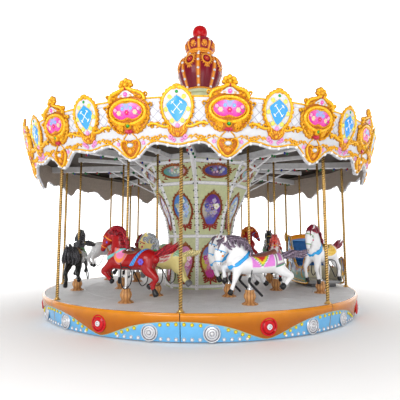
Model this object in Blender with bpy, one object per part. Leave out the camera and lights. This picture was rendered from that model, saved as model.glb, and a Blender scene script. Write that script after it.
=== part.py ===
"""Fairground carousel with galloping horses, in metres, +Z up.

The Z axis is the turning axis and z = 0 is the ground. Angles run round that axis from -Y, the
front, towards +X. Each horse and its pole slide up and down; all but the ground frame turns.
"""

import bmesh
import bpy
import numpy as np
from mathutils import Matrix, Vector

# Main sizes
BAYS = 8
BAY = 45.0
DECK_R = 2.6681
DECK_TOP = 0.348
DECK_THICK = 0.040
GAP = 0.0003

# Ground frame
FOOT_R = 2.25
FOOT_PAD = 0.10
ARM_END = 2.36
ARM_WIDTH = 0.09
ARM_LOW = 0.045
ARM_HIGH = 0.135
HUB_R = 0.30
HUB_TOP = 0.2117
SPIGOT_R = 0.090
SPIGOT_TOP = 0.335

# Skirt
SKIRT_TOP_R = 2.700
SKIRT_LOW_R = 2.646
SKIRT_LOW = 0.015
SKIRT_THICK = 0.025
LAMP_R = 0.095

# Poles and pedestals
POLE_R = 0.019
BORE_R = 0.01935
OUTER_ROW = 2.176
INNER_ROW = 1.445
RIM_POLE_R = 0.024
RIM_POLE_ROW = 2.640
PEDESTAL_HIGH = 0.190

# Core: corner radius and height up its profile
CORE_PROFILE = (
    (0.656, 0.3483), (0.583, 1.253), (0.650, 1.600), (0.809, 1.946), (0.913, 2.165), (1.131, 2.5285),
)

# Roof
SWEEP_LOW = 2.530
SWEEP_HIGH = 2.620
SWEEP_END = 2.9412
ROOF_EDGE_R = 2.955
ROOF_EDGE_Z = 2.650
ROOF_TOP_R = 0.420
ROOF_TOP_Z = 3.560
MAST_R = 0.240

# Rounding boards: radius grows with height
BOARD_LOW_R = 2.862
BOARD_LOW = 2.117
BOARD_LEAN = 0.267
BOARD_THICK = 0.030
BOARD_TOP = 2.820

# Horses: height of the back at rest, by row and by angle from the front
BACK_LOWEST = 0.96
BACK_HIGHEST = 1.20
HORSES = (
    # name, row radius, angle, back height, pose
    ("outer_left_front", OUTER_ROW, -22.5, 1.059, "high"),
    ("outer_right_front", OUTER_ROW, 22.5, 1.016, "low"),
    ("outer_right", OUTER_ROW, 67.5, 1.105, "upright"),
    ("outer_right_rear", OUTER_ROW, 157.5, 1.180, "high"),
    ("outer_left_rear", OUTER_ROW, -157.5, 1.010, "high"),
    ("outer_left_middle", OUTER_ROW, -112.5, 1.140, "low"),
    ("outer_left", OUTER_ROW, -67.5, 1.043, "high"),
    ("inner_left_front", INNER_ROW, -22.5, 1.020, "tucked"),
    ("inner_right_front", INNER_ROW, 22.5, 0.980, "tucked"),
    ("inner_right", INNER_ROW, 67.5, 1.050, "low"),
    ("inner_right_middle", INNER_ROW, 112.5, 1.100, "tucked"),
    ("inner_right_rear", INNER_ROW, 157.5, 1.000, "low"),
    ("inner_left_rear", INNER_ROW, -157.5, 1.090, "high"),
    ("inner_left_middle", INNER_ROW, -112.5, 1.030, "tucked"),
    ("inner_left", INNER_ROW, -67.5, 1.080, "high"),
)
# These horses are clamped a little turned on their poles
TOE_IN = {
    "outer_left": -10.0,
    "outer_right": -17.0,
    "inner_right_front": 6.0,
    "inner_right": 15.0,
    "inner_right_middle": -28.0,
}
POLE_BELOW_BACK = 0.760
POLE_ABOVE_BACK = 1.660

# Chariot, with a fixed pole through its back
CHARIOT_ROW = 2.200
CHARIOT_ANGLE = 100.0
CHARIOT_POLE_ANGLE = 112.5
CHARIOT_POLE_TOP = 2.680


def clear_scene():
    for obj in list(bpy.data.objects):
        bpy.data.objects.remove(obj, do_unlink=True)


def material(name, colour, roughness, metallic=0.0):
    mat = bpy.data.materials.new(name)
    mat.use_nodes = True
    shader = mat.node_tree.nodes["Principled BSDF"]
    shader.inputs["Base Color"].default_value = (*colour, 1.0)
    shader.inputs["Roughness"].default_value = roughness
    shader.inputs["Metallic"].default_value = metallic
    return mat


def polar(radius, angle_deg, z=0.0):
    """The point at this radius and at this angle from the front, towards +X."""
    a = np.radians(angle_deg)
    return Vector((radius * np.sin(a), -radius * np.cos(a), z))


def mesh_object(name, bm, mat, smooth=False):
    """A scene object made from the bmesh, its faces turned outward."""
    bmesh.ops.recalc_face_normals(bm, faces=bm.faces)
    mesh = bpy.data.meshes.new(name)
    bm.to_mesh(mesh)
    bm.free()
    mesh.materials.append(mat)
    for face in mesh.polygons:
        face.use_smooth = smooth
    obj = bpy.data.objects.new(name, mesh)
    bpy.context.scene.collection.objects.link(obj)
    return obj


def helper(obj):
    """Takes an operand out of the render, and draws it as wires."""
    obj.hide_render = True
    obj.display_type = "WIRE"
    return obj


def boolean(obj, other, operation):
    modifier = obj.modifiers.new(operation.lower(), "BOOLEAN")
    modifier.operation = operation
    modifier.solver = "EXACT"
    modifier.object = other
    helper(other)


def applied(obj):
    """Replaces the object's mesh with its mesh after modifiers, and removes the operands."""
    graph = bpy.context.evaluated_depsgraph_get()
    mesh = bpy.data.meshes.new_from_object(obj.evaluated_get(graph))
    operands = [m.object for m in obj.modifiers if m.type == "BOOLEAN"]
    obj.modifiers.clear()
    obj.data = mesh
    for other in operands:
        bpy.data.objects.remove(other, do_unlink=True)
    return obj


def box(bm, size, centre, turn_deg=0.0):
    """A box of this size, turned about Z round the world's axis after it is placed at its centre."""
    made = bmesh.ops.create_cube(bm, size=1.0)
    matrix = Matrix.Rotation(np.radians(turn_deg), 4, "Z") @ Matrix.Translation(centre)
    matrix = matrix @ Matrix.Diagonal((*size, 1.0))
    bmesh.ops.transform(bm, matrix=matrix, verts=made["verts"])


def radial_bar(bm, width, start, end, low, high, angle_deg):
    """A square-cut bar that runs outward from one radius to another at this angle."""
    box(bm, (width, end - start, high - low), (0, -(start + end) / 2, (low + high) / 2), angle_deg)


def cylinder(bm, radius, low, high, centre=(0.0, 0.0), sides=16, turn_deg=0.0):
    """An upright cylinder between two heights."""
    place = Matrix.Translation((centre[0], centre[1], (low + high) / 2))
    place = place @ Matrix.Rotation(np.radians(turn_deg), 4, "Z")
    bmesh.ops.create_cone(
        bm, cap_ends=True, segments=sides, radius1=radius, radius2=radius, depth=high - low, matrix=place,
    )


def turned(bm, profile, sides, centre=(0.0, 0.0), turn_deg=0.0):
    """A solid of revolution from (radius, height) pairs, low to high, capped at both ends."""
    rings = []
    for radius, z in profile:
        ring = []
        for i in range(sides):
            p = polar(radius, turn_deg + i * 360.0 / sides, z)
            ring.append(bm.verts.new((p.x + centre[0], p.y + centre[1], z)))
        rings.append(ring)
    for low, high in zip(rings, rings[1:]):
        for i in range(sides):
            j = (i + 1) % sides
            bm.faces.new((low[i], low[j], high[j], high[i]))
    bm.faces.new(list(reversed(rings[0])))
    bm.faces.new(rings[-1])


def swept_ring(bm, section, sides, turn_deg=0.0):
    """A closed section of (radius, height) pairs carried all the way round the axis."""
    rings = []
    for i in range(sides):
        angle = turn_deg + i * 360.0 / sides
        rings.append([bm.verts.new(polar(radius, angle, z)) for radius, z in section])
    count = len(section)
    for i in range(sides):
        here = rings[i]
        after = rings[(i + 1) % sides]
        for k in range(count):
            m = (k + 1) % count
            bm.faces.new((here[k], here[m], after[m], after[k]))


def loft(bm, stations, sides=8):
    """A capped tube through stations of (centre, across, up): ellipses set square to the path."""
    points = [Vector(s[0]) for s in stations]
    rings = []
    for n, (centre, across, up) in enumerate(stations):
        before = points[max(n - 1, 0)]
        after = points[min(n + 1, len(points) - 1)]
        along = (after - before).normalized()
        side = Vector((0, 1, 0))
        side = (side - along * side.dot(along)).normalized()
        rise = along.cross(side)
        ring = []
        for i in range(sides):
            a = 2 * np.pi * (i + 0.5) / sides
            ring.append(bm.verts.new(Vector(centre) + side * (across * np.cos(a)) + rise * (up * np.sin(a))))
        rings.append(ring)
    for low, high in zip(rings, rings[1:]):
        for i in range(sides):
            j = (i + 1) % sides
            bm.faces.new((low[i], low[j], high[j], high[i]))
    bm.faces.new(list(reversed(rings[0])))
    bm.faces.new(rings[-1])


clear_scene()

PAINTED_STEEL = material("painted_steel", (0.16, 0.17, 0.18), 0.5, 0.6)
DECK_GREY = material("deck_grey", (0.55, 0.56, 0.57), 0.6)
SKIRT_ORANGE = material("skirt_orange", (0.85, 0.42, 0.05), 0.25)
BRASS = material("brass", (0.72, 0.50, 0.20), 0.25, 1.0)
CORE_GREEN = material("core_green", (0.60, 0.64, 0.42), 0.5)
FRAME_WHITE = material("frame_white", (0.80, 0.80, 0.80), 0.4)
COVER_CREAM = material("cover_cream", (0.80, 0.76, 0.66), 0.7)
BOARD_WHITE = material("board_white", (0.84, 0.82, 0.76), 0.4)
CROWN_RED = material("crown_red", (0.35, 0.03, 0.04), 0.3)
HORSE_PAINT = {
    "red": material("horse_red", (0.60, 0.02, 0.03), 0.25),
    "white": material("horse_white", (0.85, 0.85, 0.83), 0.25),
    "black": material("horse_black", (0.03, 0.03, 0.03), 0.25),
    "yellow": material("horse_yellow", (0.80, 0.66, 0.22), 0.25),
}
CHARIOT_BLUE = material("chariot_blue", (0.08, 0.30, 0.55), 0.3)

# Ground frame: a hub with a spigot, and eight arms on feet
bm = bmesh.new()
turned(bm, ((HUB_R, 0.0), (HUB_R, HUB_TOP), (SPIGOT_R, HUB_TOP + 0.0001), (SPIGOT_R, SPIGOT_TOP)), 24)
ground_frame = mesh_object("ground_frame", bm, PAINTED_STEEL)
bm = bmesh.new()
for k in range(BAYS):
    radial_bar(bm, ARM_WIDTH, 0.18, ARM_END, ARM_LOW, ARM_HIGH, k * BAY)
arms = mesh_object("ground_arms", bm, PAINTED_STEEL)
bm = bmesh.new()
for k in range(BAYS):
    at = polar(FOOT_R, k * BAY)
    cylinder(bm, FOOT_PAD, 0.0, 0.020, (at.x, at.y), 10)
pads = mesh_object("ground_pads", bm, PAINTED_STEEL)
bm = bmesh.new()
for k in range(BAYS):
    at = polar(FOOT_R, k * BAY)
    cylinder(bm, 0.035, 0.010, ARM_LOW + 0.02, (at.x, at.y), 8)
stems = mesh_object("ground_stems", bm, PAINTED_STEEL)
boolean(ground_frame, arms, "UNION")
boolean(ground_frame, stems, "UNION")
boolean(ground_frame, pads, "UNION")
applied(ground_frame)

# Deck: a round floor with a boss over the ground hub and a bored pedestal under each horse
bm = bmesh.new()
turned(bm, ((0.260, 0.212), (0.260, 0.300), (0.259, DECK_TOP - 0.01)), 24)
boss = mesh_object("deck_boss", bm, DECK_GREY)
bm = bmesh.new()
cylinder(bm, DECK_R, DECK_TOP - DECK_THICK, DECK_TOP, sides=64, turn_deg=90.0)
deck = mesh_object("deck", bm, DECK_GREY)
bm = bmesh.new()
bores = bmesh.new()
PEDESTAL = ((0.105, -0.015), (0.105, 0.016), (0.062, 0.034), (0.076, 0.100), (0.056, PEDESTAL_HIGH))
for name, row, angle, back, pose in HORSES:
    at = polar(row, angle)
    turned(bm, [(r, DECK_TOP + z) for r, z in PEDESTAL], 12, (at.x, at.y), angle)
    cylinder(bores, BORE_R, 0.25, 0.65, (at.x, at.y), 8, angle)
cylinder(bores, 0.096, 0.15, 0.45, sides=24)
pedestals = mesh_object("deck_pedestals", bm, DECK_GREY)
deck_bores = mesh_object("deck_bores", bores, DECK_GREY)
boolean(deck, boss, "UNION")
boolean(deck, pedestals, "UNION")
boolean(deck, deck_bores, "DIFFERENCE")
applied(deck)


def skirt_radius(z):
    return SKIRT_LOW_R + (SKIRT_TOP_R - SKIRT_LOW_R) * (z - SKIRT_LOW) / (DECK_TOP - SKIRT_LOW)


# Skirt: eight panels, each with a red lamp in its middle and a silver one towards each end
SKIRT_STEPS = 8
for k in range(BAYS):
    bm = bmesh.new()
    rings = []
    for i in range(SKIRT_STEPS + 1):
        angle = k * BAY + i * BAY / SKIRT_STEPS
        if i == 0:
            angle += 0.006
        if i == SKIRT_STEPS:
            angle -= 0.006
        section = (
            (SKIRT_LOW_R, SKIRT_LOW),
            (SKIRT_TOP_R, DECK_TOP - 0.012),
            (SKIRT_TOP_R - 0.008, DECK_TOP),
            (SKIRT_TOP_R - SKIRT_THICK, DECK_TOP),
            (SKIRT_LOW_R - SKIRT_THICK, SKIRT_LOW),
        )
        rings.append([bm.verts.new(polar(r, angle, z)) for r, z in section])
    for here, after in zip(rings, rings[1:]):
        for n in range(5):
            m = (n + 1) % 5
            bm.faces.new((here[n], here[m], after[m], after[n]))
    bm.faces.new(rings[0])
    bm.faces.new(list(reversed(rings[-1])))
    panel = mesh_object(f"skirt_{k + 1}", bm, SKIRT_ORANGE)
    bm = bmesh.new()
    for offset, height in ((7.9, 0.124), (22.5, 0.176), (37.1, 0.124)):
        angle = k * BAY + offset
        centre = polar(skirt_radius(height) - 0.008, angle, height)
        facing = polar(1.0, angle).to_track_quat("Z", "Y").to_matrix().to_4x4()
        bmesh.ops.create_cone(
            bm, cap_ends=True, segments=12, radius1=LAMP_R, radius2=LAMP_R * 0.55, depth=0.044,
            matrix=Matrix.Translation(centre) @ facing @ Matrix.Translation((0, 0, 0.016)),
        )
    lamps = mesh_object("lamps", bm, SKIRT_ORANGE)
    boolean(panel, lamps, "UNION")
    applied(panel)

# Outer poles: twisted brass tubes from the deck's edge to the sweeps
for k in range(BAYS):
    at = polar(RIM_POLE_ROW, k * BAY)
    bm = bmesh.new()
    low = DECK_TOP + GAP
    profile = (
        (0.025, low), (0.025, low + 0.012), (RIM_POLE_R, low + 0.03), (RIM_POLE_R, SWEEP_LOW - GAP),
    )
    turned(bm, profile, 10, (at.x, at.y), k * BAY)
    mesh_object(f"outer_pole_{k + 1}", bm, BRASS, smooth=True)

# Core: an eight-sided housing, narrow at its waist and flared towards the roof
bm = bmesh.new()
turned(bm, CORE_PROFILE, BAYS)
mesh_object("core", bm, CORE_GREEN)

# Roof frame: a ring over the core, a mast, eight sweeps, and eight drive arms with two eyes each
bm = bmesh.new()
turned(bm, ((1.10, SWEEP_LOW - 0.001), (1.10, SWEEP_HIGH - 0.008)), 16, turn_deg=11.25)
roof_frame = mesh_object("roof_frame", bm, FRAME_WHITE)
bm = bmesh.new()
turned(bm, ((MAST_R, SWEEP_LOW + 0.02), (MAST_R, ROOF_TOP_Z + 0.030)), 16)
mast = mesh_object("mast", bm, FRAME_WHITE)
bm = bmesh.new()
for k in range(BAYS):
    radial_bar(bm, 0.070, 0.90, SWEEP_END, SWEEP_LOW, SWEEP_HIGH, k * BAY)
sweeps = mesh_object("sweeps", bm, FRAME_WHITE)
bm = bmesh.new()
for k in range(BAYS):
    radial_bar(bm, 0.062, 0.95, OUTER_ROW + 0.015, 2.547, 2.603, (k + 0.5) * BAY)
drive_arms = mesh_object("drive_arms", bm, FRAME_WHITE)
bm = bmesh.new()
bores = bmesh.new()
for k in range(BAYS):
    for row in (INNER_ROW, OUTER_ROW):
        at = polar(row, (k + 0.5) * BAY)
        cylinder(bm, 0.050, 2.540, 2.610, (at.x, at.y), 12, (k + 0.5) * BAY)
        cylinder(bores, BORE_R, 2.45, 2.70, (at.x, at.y), 8, (k + 0.5) * BAY)
eyes = mesh_object("eyes", bm, FRAME_WHITE)
eye_bores = mesh_object("eye_bores", bores, FRAME_WHITE)
for part_of_frame in (mast, sweeps, drive_arms, eyes):
    boolean(roof_frame, part_of_frame, "UNION")
boolean(roof_frame, eye_bores, "DIFFERENCE")
applied(roof_frame)

# Roof cover: a shallow cone of sheet on the frame
bm = bmesh.new()
swept_ring(
    bm,
    (
        (2.660, SWEEP_HIGH + GAP), (ROOF_EDGE_R, SWEEP_HIGH + GAP), (ROOF_EDGE_R, ROOF_EDGE_Z + 0.020),
        (ROOF_TOP_R, ROOF_TOP_Z + 0.020), (MAST_R + 2 * GAP, ROOF_TOP_Z + 0.020),
        (MAST_R + 2 * GAP, ROOF_TOP_Z), (ROOF_TOP_R, ROOF_TOP_Z), (2.760, 2.690),
    ),
    32,
)
mesh_object("roof_cover", bm, COVER_CREAM)

# Rounding boards: lengths that lean outward, with raised cartouches and shields
BOARD_STEPS = 16
BOARD_ROWS = (0.0, 0.18, 0.42, 0.64, 0.86, 1.0)


def board_outline(offset):
    """Lower and upper edge of the board at this angle past a shield's middle line, in degrees."""
    place = offset % 22.5
    to_shield = min(place, 22.5 - place)
    to_cartouche = abs(place - 11.25)
    low = BOARD_LOW + 0.178 * np.sin(np.pi / 2 * min(1.0, to_cartouche / 5.9)) ** 2
    low -= 0.043 * np.sin(np.pi / 2 * max(0.0, to_cartouche - 5.9) / 5.35) ** 2
    high = BOARD_TOP
    high = max(high, 3.046 - 0.230 * (to_cartouche / 5.625) ** 1.6)
    high = max(high, 2.935 - 0.118 * (to_shield / 2.9) ** 1.6)
    return low, high


def board_relief(offset, z):
    """How far the cartouche or the shield stands out from the board here."""
    place = offset % 22.5
    to_shield = min(place, 22.5 - place)
    to_cartouche = abs(place - 11.25)
    big = 1.0 - (to_cartouche / 6.2) ** 2 - ((z - 2.70) / 0.37) ** 2
    small = 1.0 - (to_shield / 4.2) ** 2 - ((z - 2.66) / 0.31) ** 2
    return 0.050 * max(0.0, big) ** 0.5 + 0.035 * max(0.0, small) ** 0.5


for k in range(BAYS):
    bm = bmesh.new()
    start = k * BAY - 5.625
    outer_rows = []
    inner_rows = []
    for i in range(BOARD_STEPS + 1):
        offset = -5.625 + i * BAY / BOARD_STEPS
        angle = k * BAY + offset
        if i == 0:
            angle += 0.006
        if i == BOARD_STEPS:
            angle -= 0.006
        low, high = board_outline(offset)
        outer = []
        inner = []
        for share in BOARD_ROWS:
            z = low + (high - low) * share
            radius = BOARD_LOW_R + BOARD_LEAN * (min(z, 2.90) - BOARD_LOW)
            outer.append(bm.verts.new(polar(radius + board_relief(offset, z), angle, z)))
            inner.append(bm.verts.new(polar(radius - BOARD_THICK, angle, z)))
        outer_rows.append(outer)
        inner_rows.append(inner)
    last = len(BOARD_ROWS) - 1
    for i in range(BOARD_STEPS):
        for n in range(last):
            bm.faces.new((outer_rows[i][n], outer_rows[i + 1][n], outer_rows[i + 1][n + 1], outer_rows[i][n + 1]))
            bm.faces.new((inner_rows[i][n], inner_rows[i][n + 1], inner_rows[i + 1][n + 1], inner_rows[i + 1][n]))
        bm.faces.new((outer_rows[i][0], inner_rows[i][0], inner_rows[i + 1][0], outer_rows[i + 1][0]))
        bm.faces.new((outer_rows[i][last], outer_rows[i + 1][last], inner_rows[i + 1][last], inner_rows[i][last]))
    for i in (0, BOARD_STEPS):
        for n in range(last):
            bm.faces.new((outer_rows[i][n], outer_rows[i][n + 1], inner_rows[i][n + 1], inner_rows[i][n]))
    mesh_object(f"rounding_board_{k + 1}", bm, BOARD_WHITE)

# Crown: a collar, two bulbs and a ball, on the mast
bm = bmesh.new()
CROWN_PROFILE = (
    (0.300, 3.5806), (0.300, 3.680), (0.262, 3.740), (0.262, 4.030), (0.300, 4.060), (0.300, 4.100),
    (0.270, 4.125), (0.345, 4.240), (0.402, 4.370), (0.417, 4.510), (0.385, 4.640), (0.300, 4.740),
    (0.200, 4.800), (0.255, 4.880), (0.286, 4.990), (0.255, 5.090), (0.150, 5.160), (0.060, 5.190),
    (0.110, 5.235), (0.135, 5.310), (0.110, 5.385), (0.050, 5.430),
)
turned(bm, CROWN_PROFILE, 24)
crown = mesh_object("crown", bm, CROWN_RED, smooth=True)
bm = bmesh.new()
cylinder(bm, MAST_R + GAP, 3.50, 3.5903, sides=16)
crown_seat = mesh_object("crown_seat", bm, CROWN_RED)
boolean(crown, crown_seat, "DIFFERENCE")
applied(crown)

# Horses: one closed body each of trunk, neck and head, legs, tail, mane and pole
TRUNK = (
    ((-0.485, 0, -0.125), 0.045, 0.055), ((-0.440, 0, -0.120), 0.100, 0.108), ((-0.350, 0, -0.125), 0.133, 0.137),
    ((-0.180, 0, -0.148), 0.124, 0.125), ((0.000, 0, -0.150), 0.118, 0.124), ((0.160, 0, -0.128), 0.120, 0.140),
    ((0.225, 0, -0.095), 0.100, 0.130), ((0.280, 0, -0.070), 0.050, 0.070),
)
HEAD_UP = (
    ((0.130, 0, -0.060), 0.095, 0.140), ((0.140, 0, 0.050), 0.072, 0.128), ((0.155, 0, 0.130), 0.062, 0.106),
    ((0.200, 0, 0.200), 0.055, 0.088), ((0.270, 0, 0.215), 0.054, 0.068), ((0.325, 0, 0.160), 0.056, 0.076),
)
NECKS = {
    "high": HEAD_UP + (((0.388, 0, 0.066), 0.042, 0.052), ((0.432, 0, -0.006), 0.030, 0.034)),
    "upright": HEAD_UP + (((0.352, 0, 0.045), 0.042, 0.054), ((0.362, 0, -0.035), 0.030, 0.036)),
    "low": (
        ((0.130, 0, -0.060), 0.095, 0.140), ((0.175, 0, 0.025), 0.072, 0.125), ((0.225, 0, 0.080), 0.062, 0.105),
        ((0.300, 0, 0.112), 0.056, 0.086), ((0.368, 0, 0.088), 0.054, 0.068), ((0.412, 0, 0.020), 0.056, 0.078),
        ((0.433, 0, -0.070), 0.042, 0.052), ((0.430, 0, -0.145), 0.028, 0.032),
    ),
    "tucked": (
        ((0.120, 0, -0.060), 0.095, 0.140), ((0.115, 0, 0.050), 0.072, 0.125), ((0.125, 0, 0.130), 0.062, 0.102),
        ((0.158, 0, 0.180), 0.056, 0.080), ((0.208, 0, 0.192), 0.054, 0.066), ((0.252, 0, 0.130), 0.056, 0.074),
        ((0.292, 0, 0.026), 0.042, 0.050), ((0.314, 0, -0.048), 0.028, 0.032),
    ),
}
MANE_UP = (
    ((-0.005, 0, 0.005), 0.024, 0.026), ((0.030, 0, 0.155), 0.042, 0.050), ((0.105, 0, 0.258), 0.047, 0.056),
    ((0.225, 0, 0.288), 0.044, 0.050), ((0.345, 0, 0.215), 0.022, 0.026),
)
MANES = {
    "high": MANE_UP,
    "upright": MANE_UP,
    "low": (
        ((-0.030, 0, 0.002), 0.026, 0.028), ((0.055, 0, 0.110), 0.050, 0.058), ((0.180, 0, 0.175), 0.057, 0.064),
        ((0.330, 0, 0.176), 0.046, 0.050), ((0.428, 0, 0.108), 0.022, 0.028),
    ),
    "tucked": (
        ((-0.010, 0, 0.006), 0.026, 0.028), ((0.010, 0, 0.140), 0.038, 0.047), ((0.090, 0, 0.222), 0.044, 0.050),
        ((0.180, 0, 0.233), 0.039, 0.042), ((0.266, 0, 0.168), 0.020, 0.022),
    ),
}
TAIL_UP = (
    ((-0.430, 0, -0.065), 0.034, 0.036), ((-0.510, 0, -0.050), 0.044, 0.048), ((-0.600, 0, -0.015), 0.052, 0.056),
    ((-0.690, 0, 0.072), 0.018, 0.020),
)
TAILS = {
    "high": TAIL_UP,
    "upright": TAIL_UP,
    "low": (
        ((-0.430, 0, -0.065), 0.034, 0.036), ((-0.530, 0, -0.037), 0.048, 0.054), ((-0.670, 0, -0.015), 0.050, 0.060),
        ((-0.768, 0, 0.015), 0.018, 0.022),
    ),
    "tucked": (
        ((-0.430, 0, -0.065), 0.034, 0.036), ((-0.530, 0, -0.037), 0.044, 0.048), ((-0.660, 0, -0.018), 0.045, 0.050),
        ((-0.752, 0, 0.015), 0.018, 0.020),
    ),
}
# Each leg: elbow or stifle, knee or hock, ankle and hoof, as distances ahead of the pole and from the back
LEGS = {
    "high": (
        ((0.20, -0.17), (0.34, -0.30), (0.22, -0.40), (0.175, -0.450)),
        ((0.22, -0.17), (0.38, -0.29), (0.36, -0.37), (0.325, -0.420)),
        ((-0.39, -0.22), (-0.54, -0.36), (-0.49, -0.47), (-0.545, -0.580)),
        ((-0.35, -0.22), (-0.43, -0.39), (-0.36, -0.46), (-0.315, -0.500)),
    ),
    "upright": (
        ((0.21, -0.20), (0.27, -0.36), (0.22, -0.49), (0.200, -0.590)),
        ((0.22, -0.19), (0.33, -0.33), (0.31, -0.46), (0.265, -0.560)),
        ((-0.38, -0.22), (-0.50, -0.38), (-0.50, -0.49), (-0.525, -0.590)),
        ((-0.35, -0.22), (-0.44, -0.39), (-0.41, -0.48), (-0.400, -0.570)),
    ),
    "low": (
        ((0.20, -0.19), (0.24, -0.33), (0.28, -0.44), (0.315, -0.520)),
        ((0.22, -0.14), (0.34, -0.18), (0.325, -0.29), (0.308, -0.380)),
        ((-0.40, -0.19), (-0.575, -0.31), (-0.50, -0.40), (-0.430, -0.460)),
        ((-0.41, -0.18), (-0.595, -0.30), (-0.57, -0.40), (-0.545, -0.480)),
    ),
    "tucked": (
        ((0.20, -0.14), (0.27, -0.155), (0.23, -0.28), (0.185, -0.400)),
        ((0.18, -0.14), (0.23, -0.16), (0.18, -0.28), (0.125, -0.400)),
        ((-0.39, -0.20), (-0.50, -0.33), (-0.55, -0.41), (-0.620, -0.470)),
        ((-0.36, -0.22), (-0.44, -0.35), (-0.49, -0.42), (-0.545, -0.480)),
    ),
}
FORE = (0.060, 0.090)
HIND = (0.068, 0.105)
KNEE = (0.033, 0.042)
ANKLE = (0.025, 0.029)
HOOF = (0.031, 0.037)


def joined(main, others):
    for other in others:
        boolean(main, other, "UNION")
    return applied(main)


def horse_pattern(pose, toe_in):
    """The closed mesh of one horse, its pole's axis on Z and its back at z = 0. The pole isn't toed in."""
    bm = bmesh.new()
    loft(bm, TRUNK)
    horse = mesh_object("horse_" + pose, bm, HORSE_PAINT["white"], smooth=True)
    bm = bmesh.new()
    loft(bm, NECKS[pose])
    others = [mesh_object("neck", bm, HORSE_PAINT["white"])]
    for k, leg in enumerate(LEGS[pose]):
        bm = bmesh.new()
        side = 1 if k % 2 == 0 else -1
        sizes = (FORE if k < 2 else HIND, KNEE, ANKLE, HOOF)
        spread = (0.066, 0.082, 0.082, 0.082)
        stations = []
        for (x, z), (across, up), y in zip(leg, sizes, spread):
            stations.append(((x, side * y, z), across, up))
        loft(bm, stations, 5)
        others.append(mesh_object("leg", bm, HORSE_PAINT["white"]))
    for shape, sides in ((TAILS[pose], 5), (MANES[pose], 5)):
        bm = bmesh.new()
        loft(bm, shape, sides)
        others.append(mesh_object("hair", bm, HORSE_PAINT["white"]))
    bm = bmesh.new()
    cylinder(bm, POLE_R, -POLE_BELOW_BACK, POLE_ABOVE_BACK, sides=8, turn_deg=-toe_in)
    others.append(mesh_object("pole", bm, HORSE_PAINT["white"]))
    return joined(horse, others)


COATS = (
    "red", "white", "white", "yellow", "white", "white", "black", "yellow", "white", "red", "black", "white",
    "yellow", "red", "white",
)
patterns = {}
for (name, row, angle, back, pose), coat in zip(HORSES, COATS):
    toe_in = TOE_IN.get(name, 0.0)
    if (pose, toe_in) not in patterns:
        patterns[pose, toe_in] = horse_pattern(pose, toe_in)
    mesh = patterns[pose, toe_in].data.copy()
    mesh.materials.clear()
    mesh.materials.append(HORSE_PAINT[coat])
    horse = bpy.data.objects.new("horse_" + name, mesh)
    horse.location = polar(row, angle, back)
    horse.rotation_euler = (0, 0, np.radians(angle + 180.0 + toe_in))
    bpy.context.scene.collection.objects.link(horse)
for pattern in patterns.values():
    bpy.data.objects.remove(pattern, do_unlink=True)

# Chariot: a low carriage, a bench between two scrolled walls, and a fixed pole through its back
bm = bmesh.new()
box(bm, (1.00, 0.64, 0.06), (0.0, 0.0, 0.09))
chariot = mesh_object("chariot", bm, CHARIOT_BLUE)
walls = []
SIDE = (
    (-0.53, 0.06), (0.42, 0.06), (0.55, 0.30), (0.50, 0.52), (0.40, 0.50), (0.30, 0.36), (-0.05, 0.34),
    (-0.24, 0.60), (-0.36, 0.86), (-0.50, 0.92), (-0.56, 0.70),
)
for side in (-1, 1):
    bm = bmesh.new()
    near = [bm.verts.new((x, side * 0.335, z)) for x, z in SIDE]
    far = [bm.verts.new((x, side * 0.295, z)) for x, z in SIDE]
    bm.faces.new(near)
    bm.faces.new(list(reversed(far)))
    for i in range(len(SIDE)):
        j = (i + 1) % len(SIDE)
        bm.faces.new((near[i], far[i], far[j], near[j]))
    walls.append(mesh_object("chariot_wall", bm, CHARIOT_BLUE))
bm = bmesh.new()
box(bm, (0.36, 0.62, 0.28), (-0.22, 0.0, 0.22))
walls.append(mesh_object("chariot_bench", bm, CHARIOT_BLUE))
bm = bmesh.new()
back = ((-0.52, 0.07), (-0.38, 0.07), (-0.36, 0.40), (-0.40, 0.84), (-0.47, 0.86), (-0.52, 0.50))
near = [bm.verts.new((x, -0.315, z)) for x, z in back]
far = [bm.verts.new((x, 0.315, z)) for x, z in back]
bm.faces.new(near)
bm.faces.new(list(reversed(far)))
for i in range(len(back)):
    j = (i + 1) % len(back)
    bm.faces.new((near[i], far[i], far[j], near[j]))
walls.append(mesh_object("chariot_back", bm, CHARIOT_BLUE))
bm = bmesh.new()
box(bm, (0.90, 0.50, 0.07), (0.0, 0.0, 0.035))
walls.append(mesh_object("chariot_foot", bm, CHARIOT_BLUE))
bm = bmesh.new()
back_by = np.radians(CHARIOT_POLE_ANGLE - CHARIOT_ANGLE)
pole_at = (-OUTER_ROW * float(np.sin(back_by)), OUTER_ROW * float(np.cos(back_by)) - CHARIOT_ROW)
cylinder(bm, POLE_R, 0.08, CHARIOT_POLE_TOP - DECK_TOP, pole_at, 8, float(np.degrees(back_by)))
walls.append(mesh_object("chariot_pole", bm, CHARIOT_BLUE))
joined(chariot, walls)
chariot.location = polar(CHARIOT_ROW, CHARIOT_ANGLE, DECK_TOP + GAP)
chariot.rotation_euler = (0, 0, np.radians(CHARIOT_ANGLE + 180.0))
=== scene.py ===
"""A fairground carousel with galloping horses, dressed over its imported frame.

Angles run in degrees round the turning axis from -Y, the front, towards +X. Lengths are in metres.
"""

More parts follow.
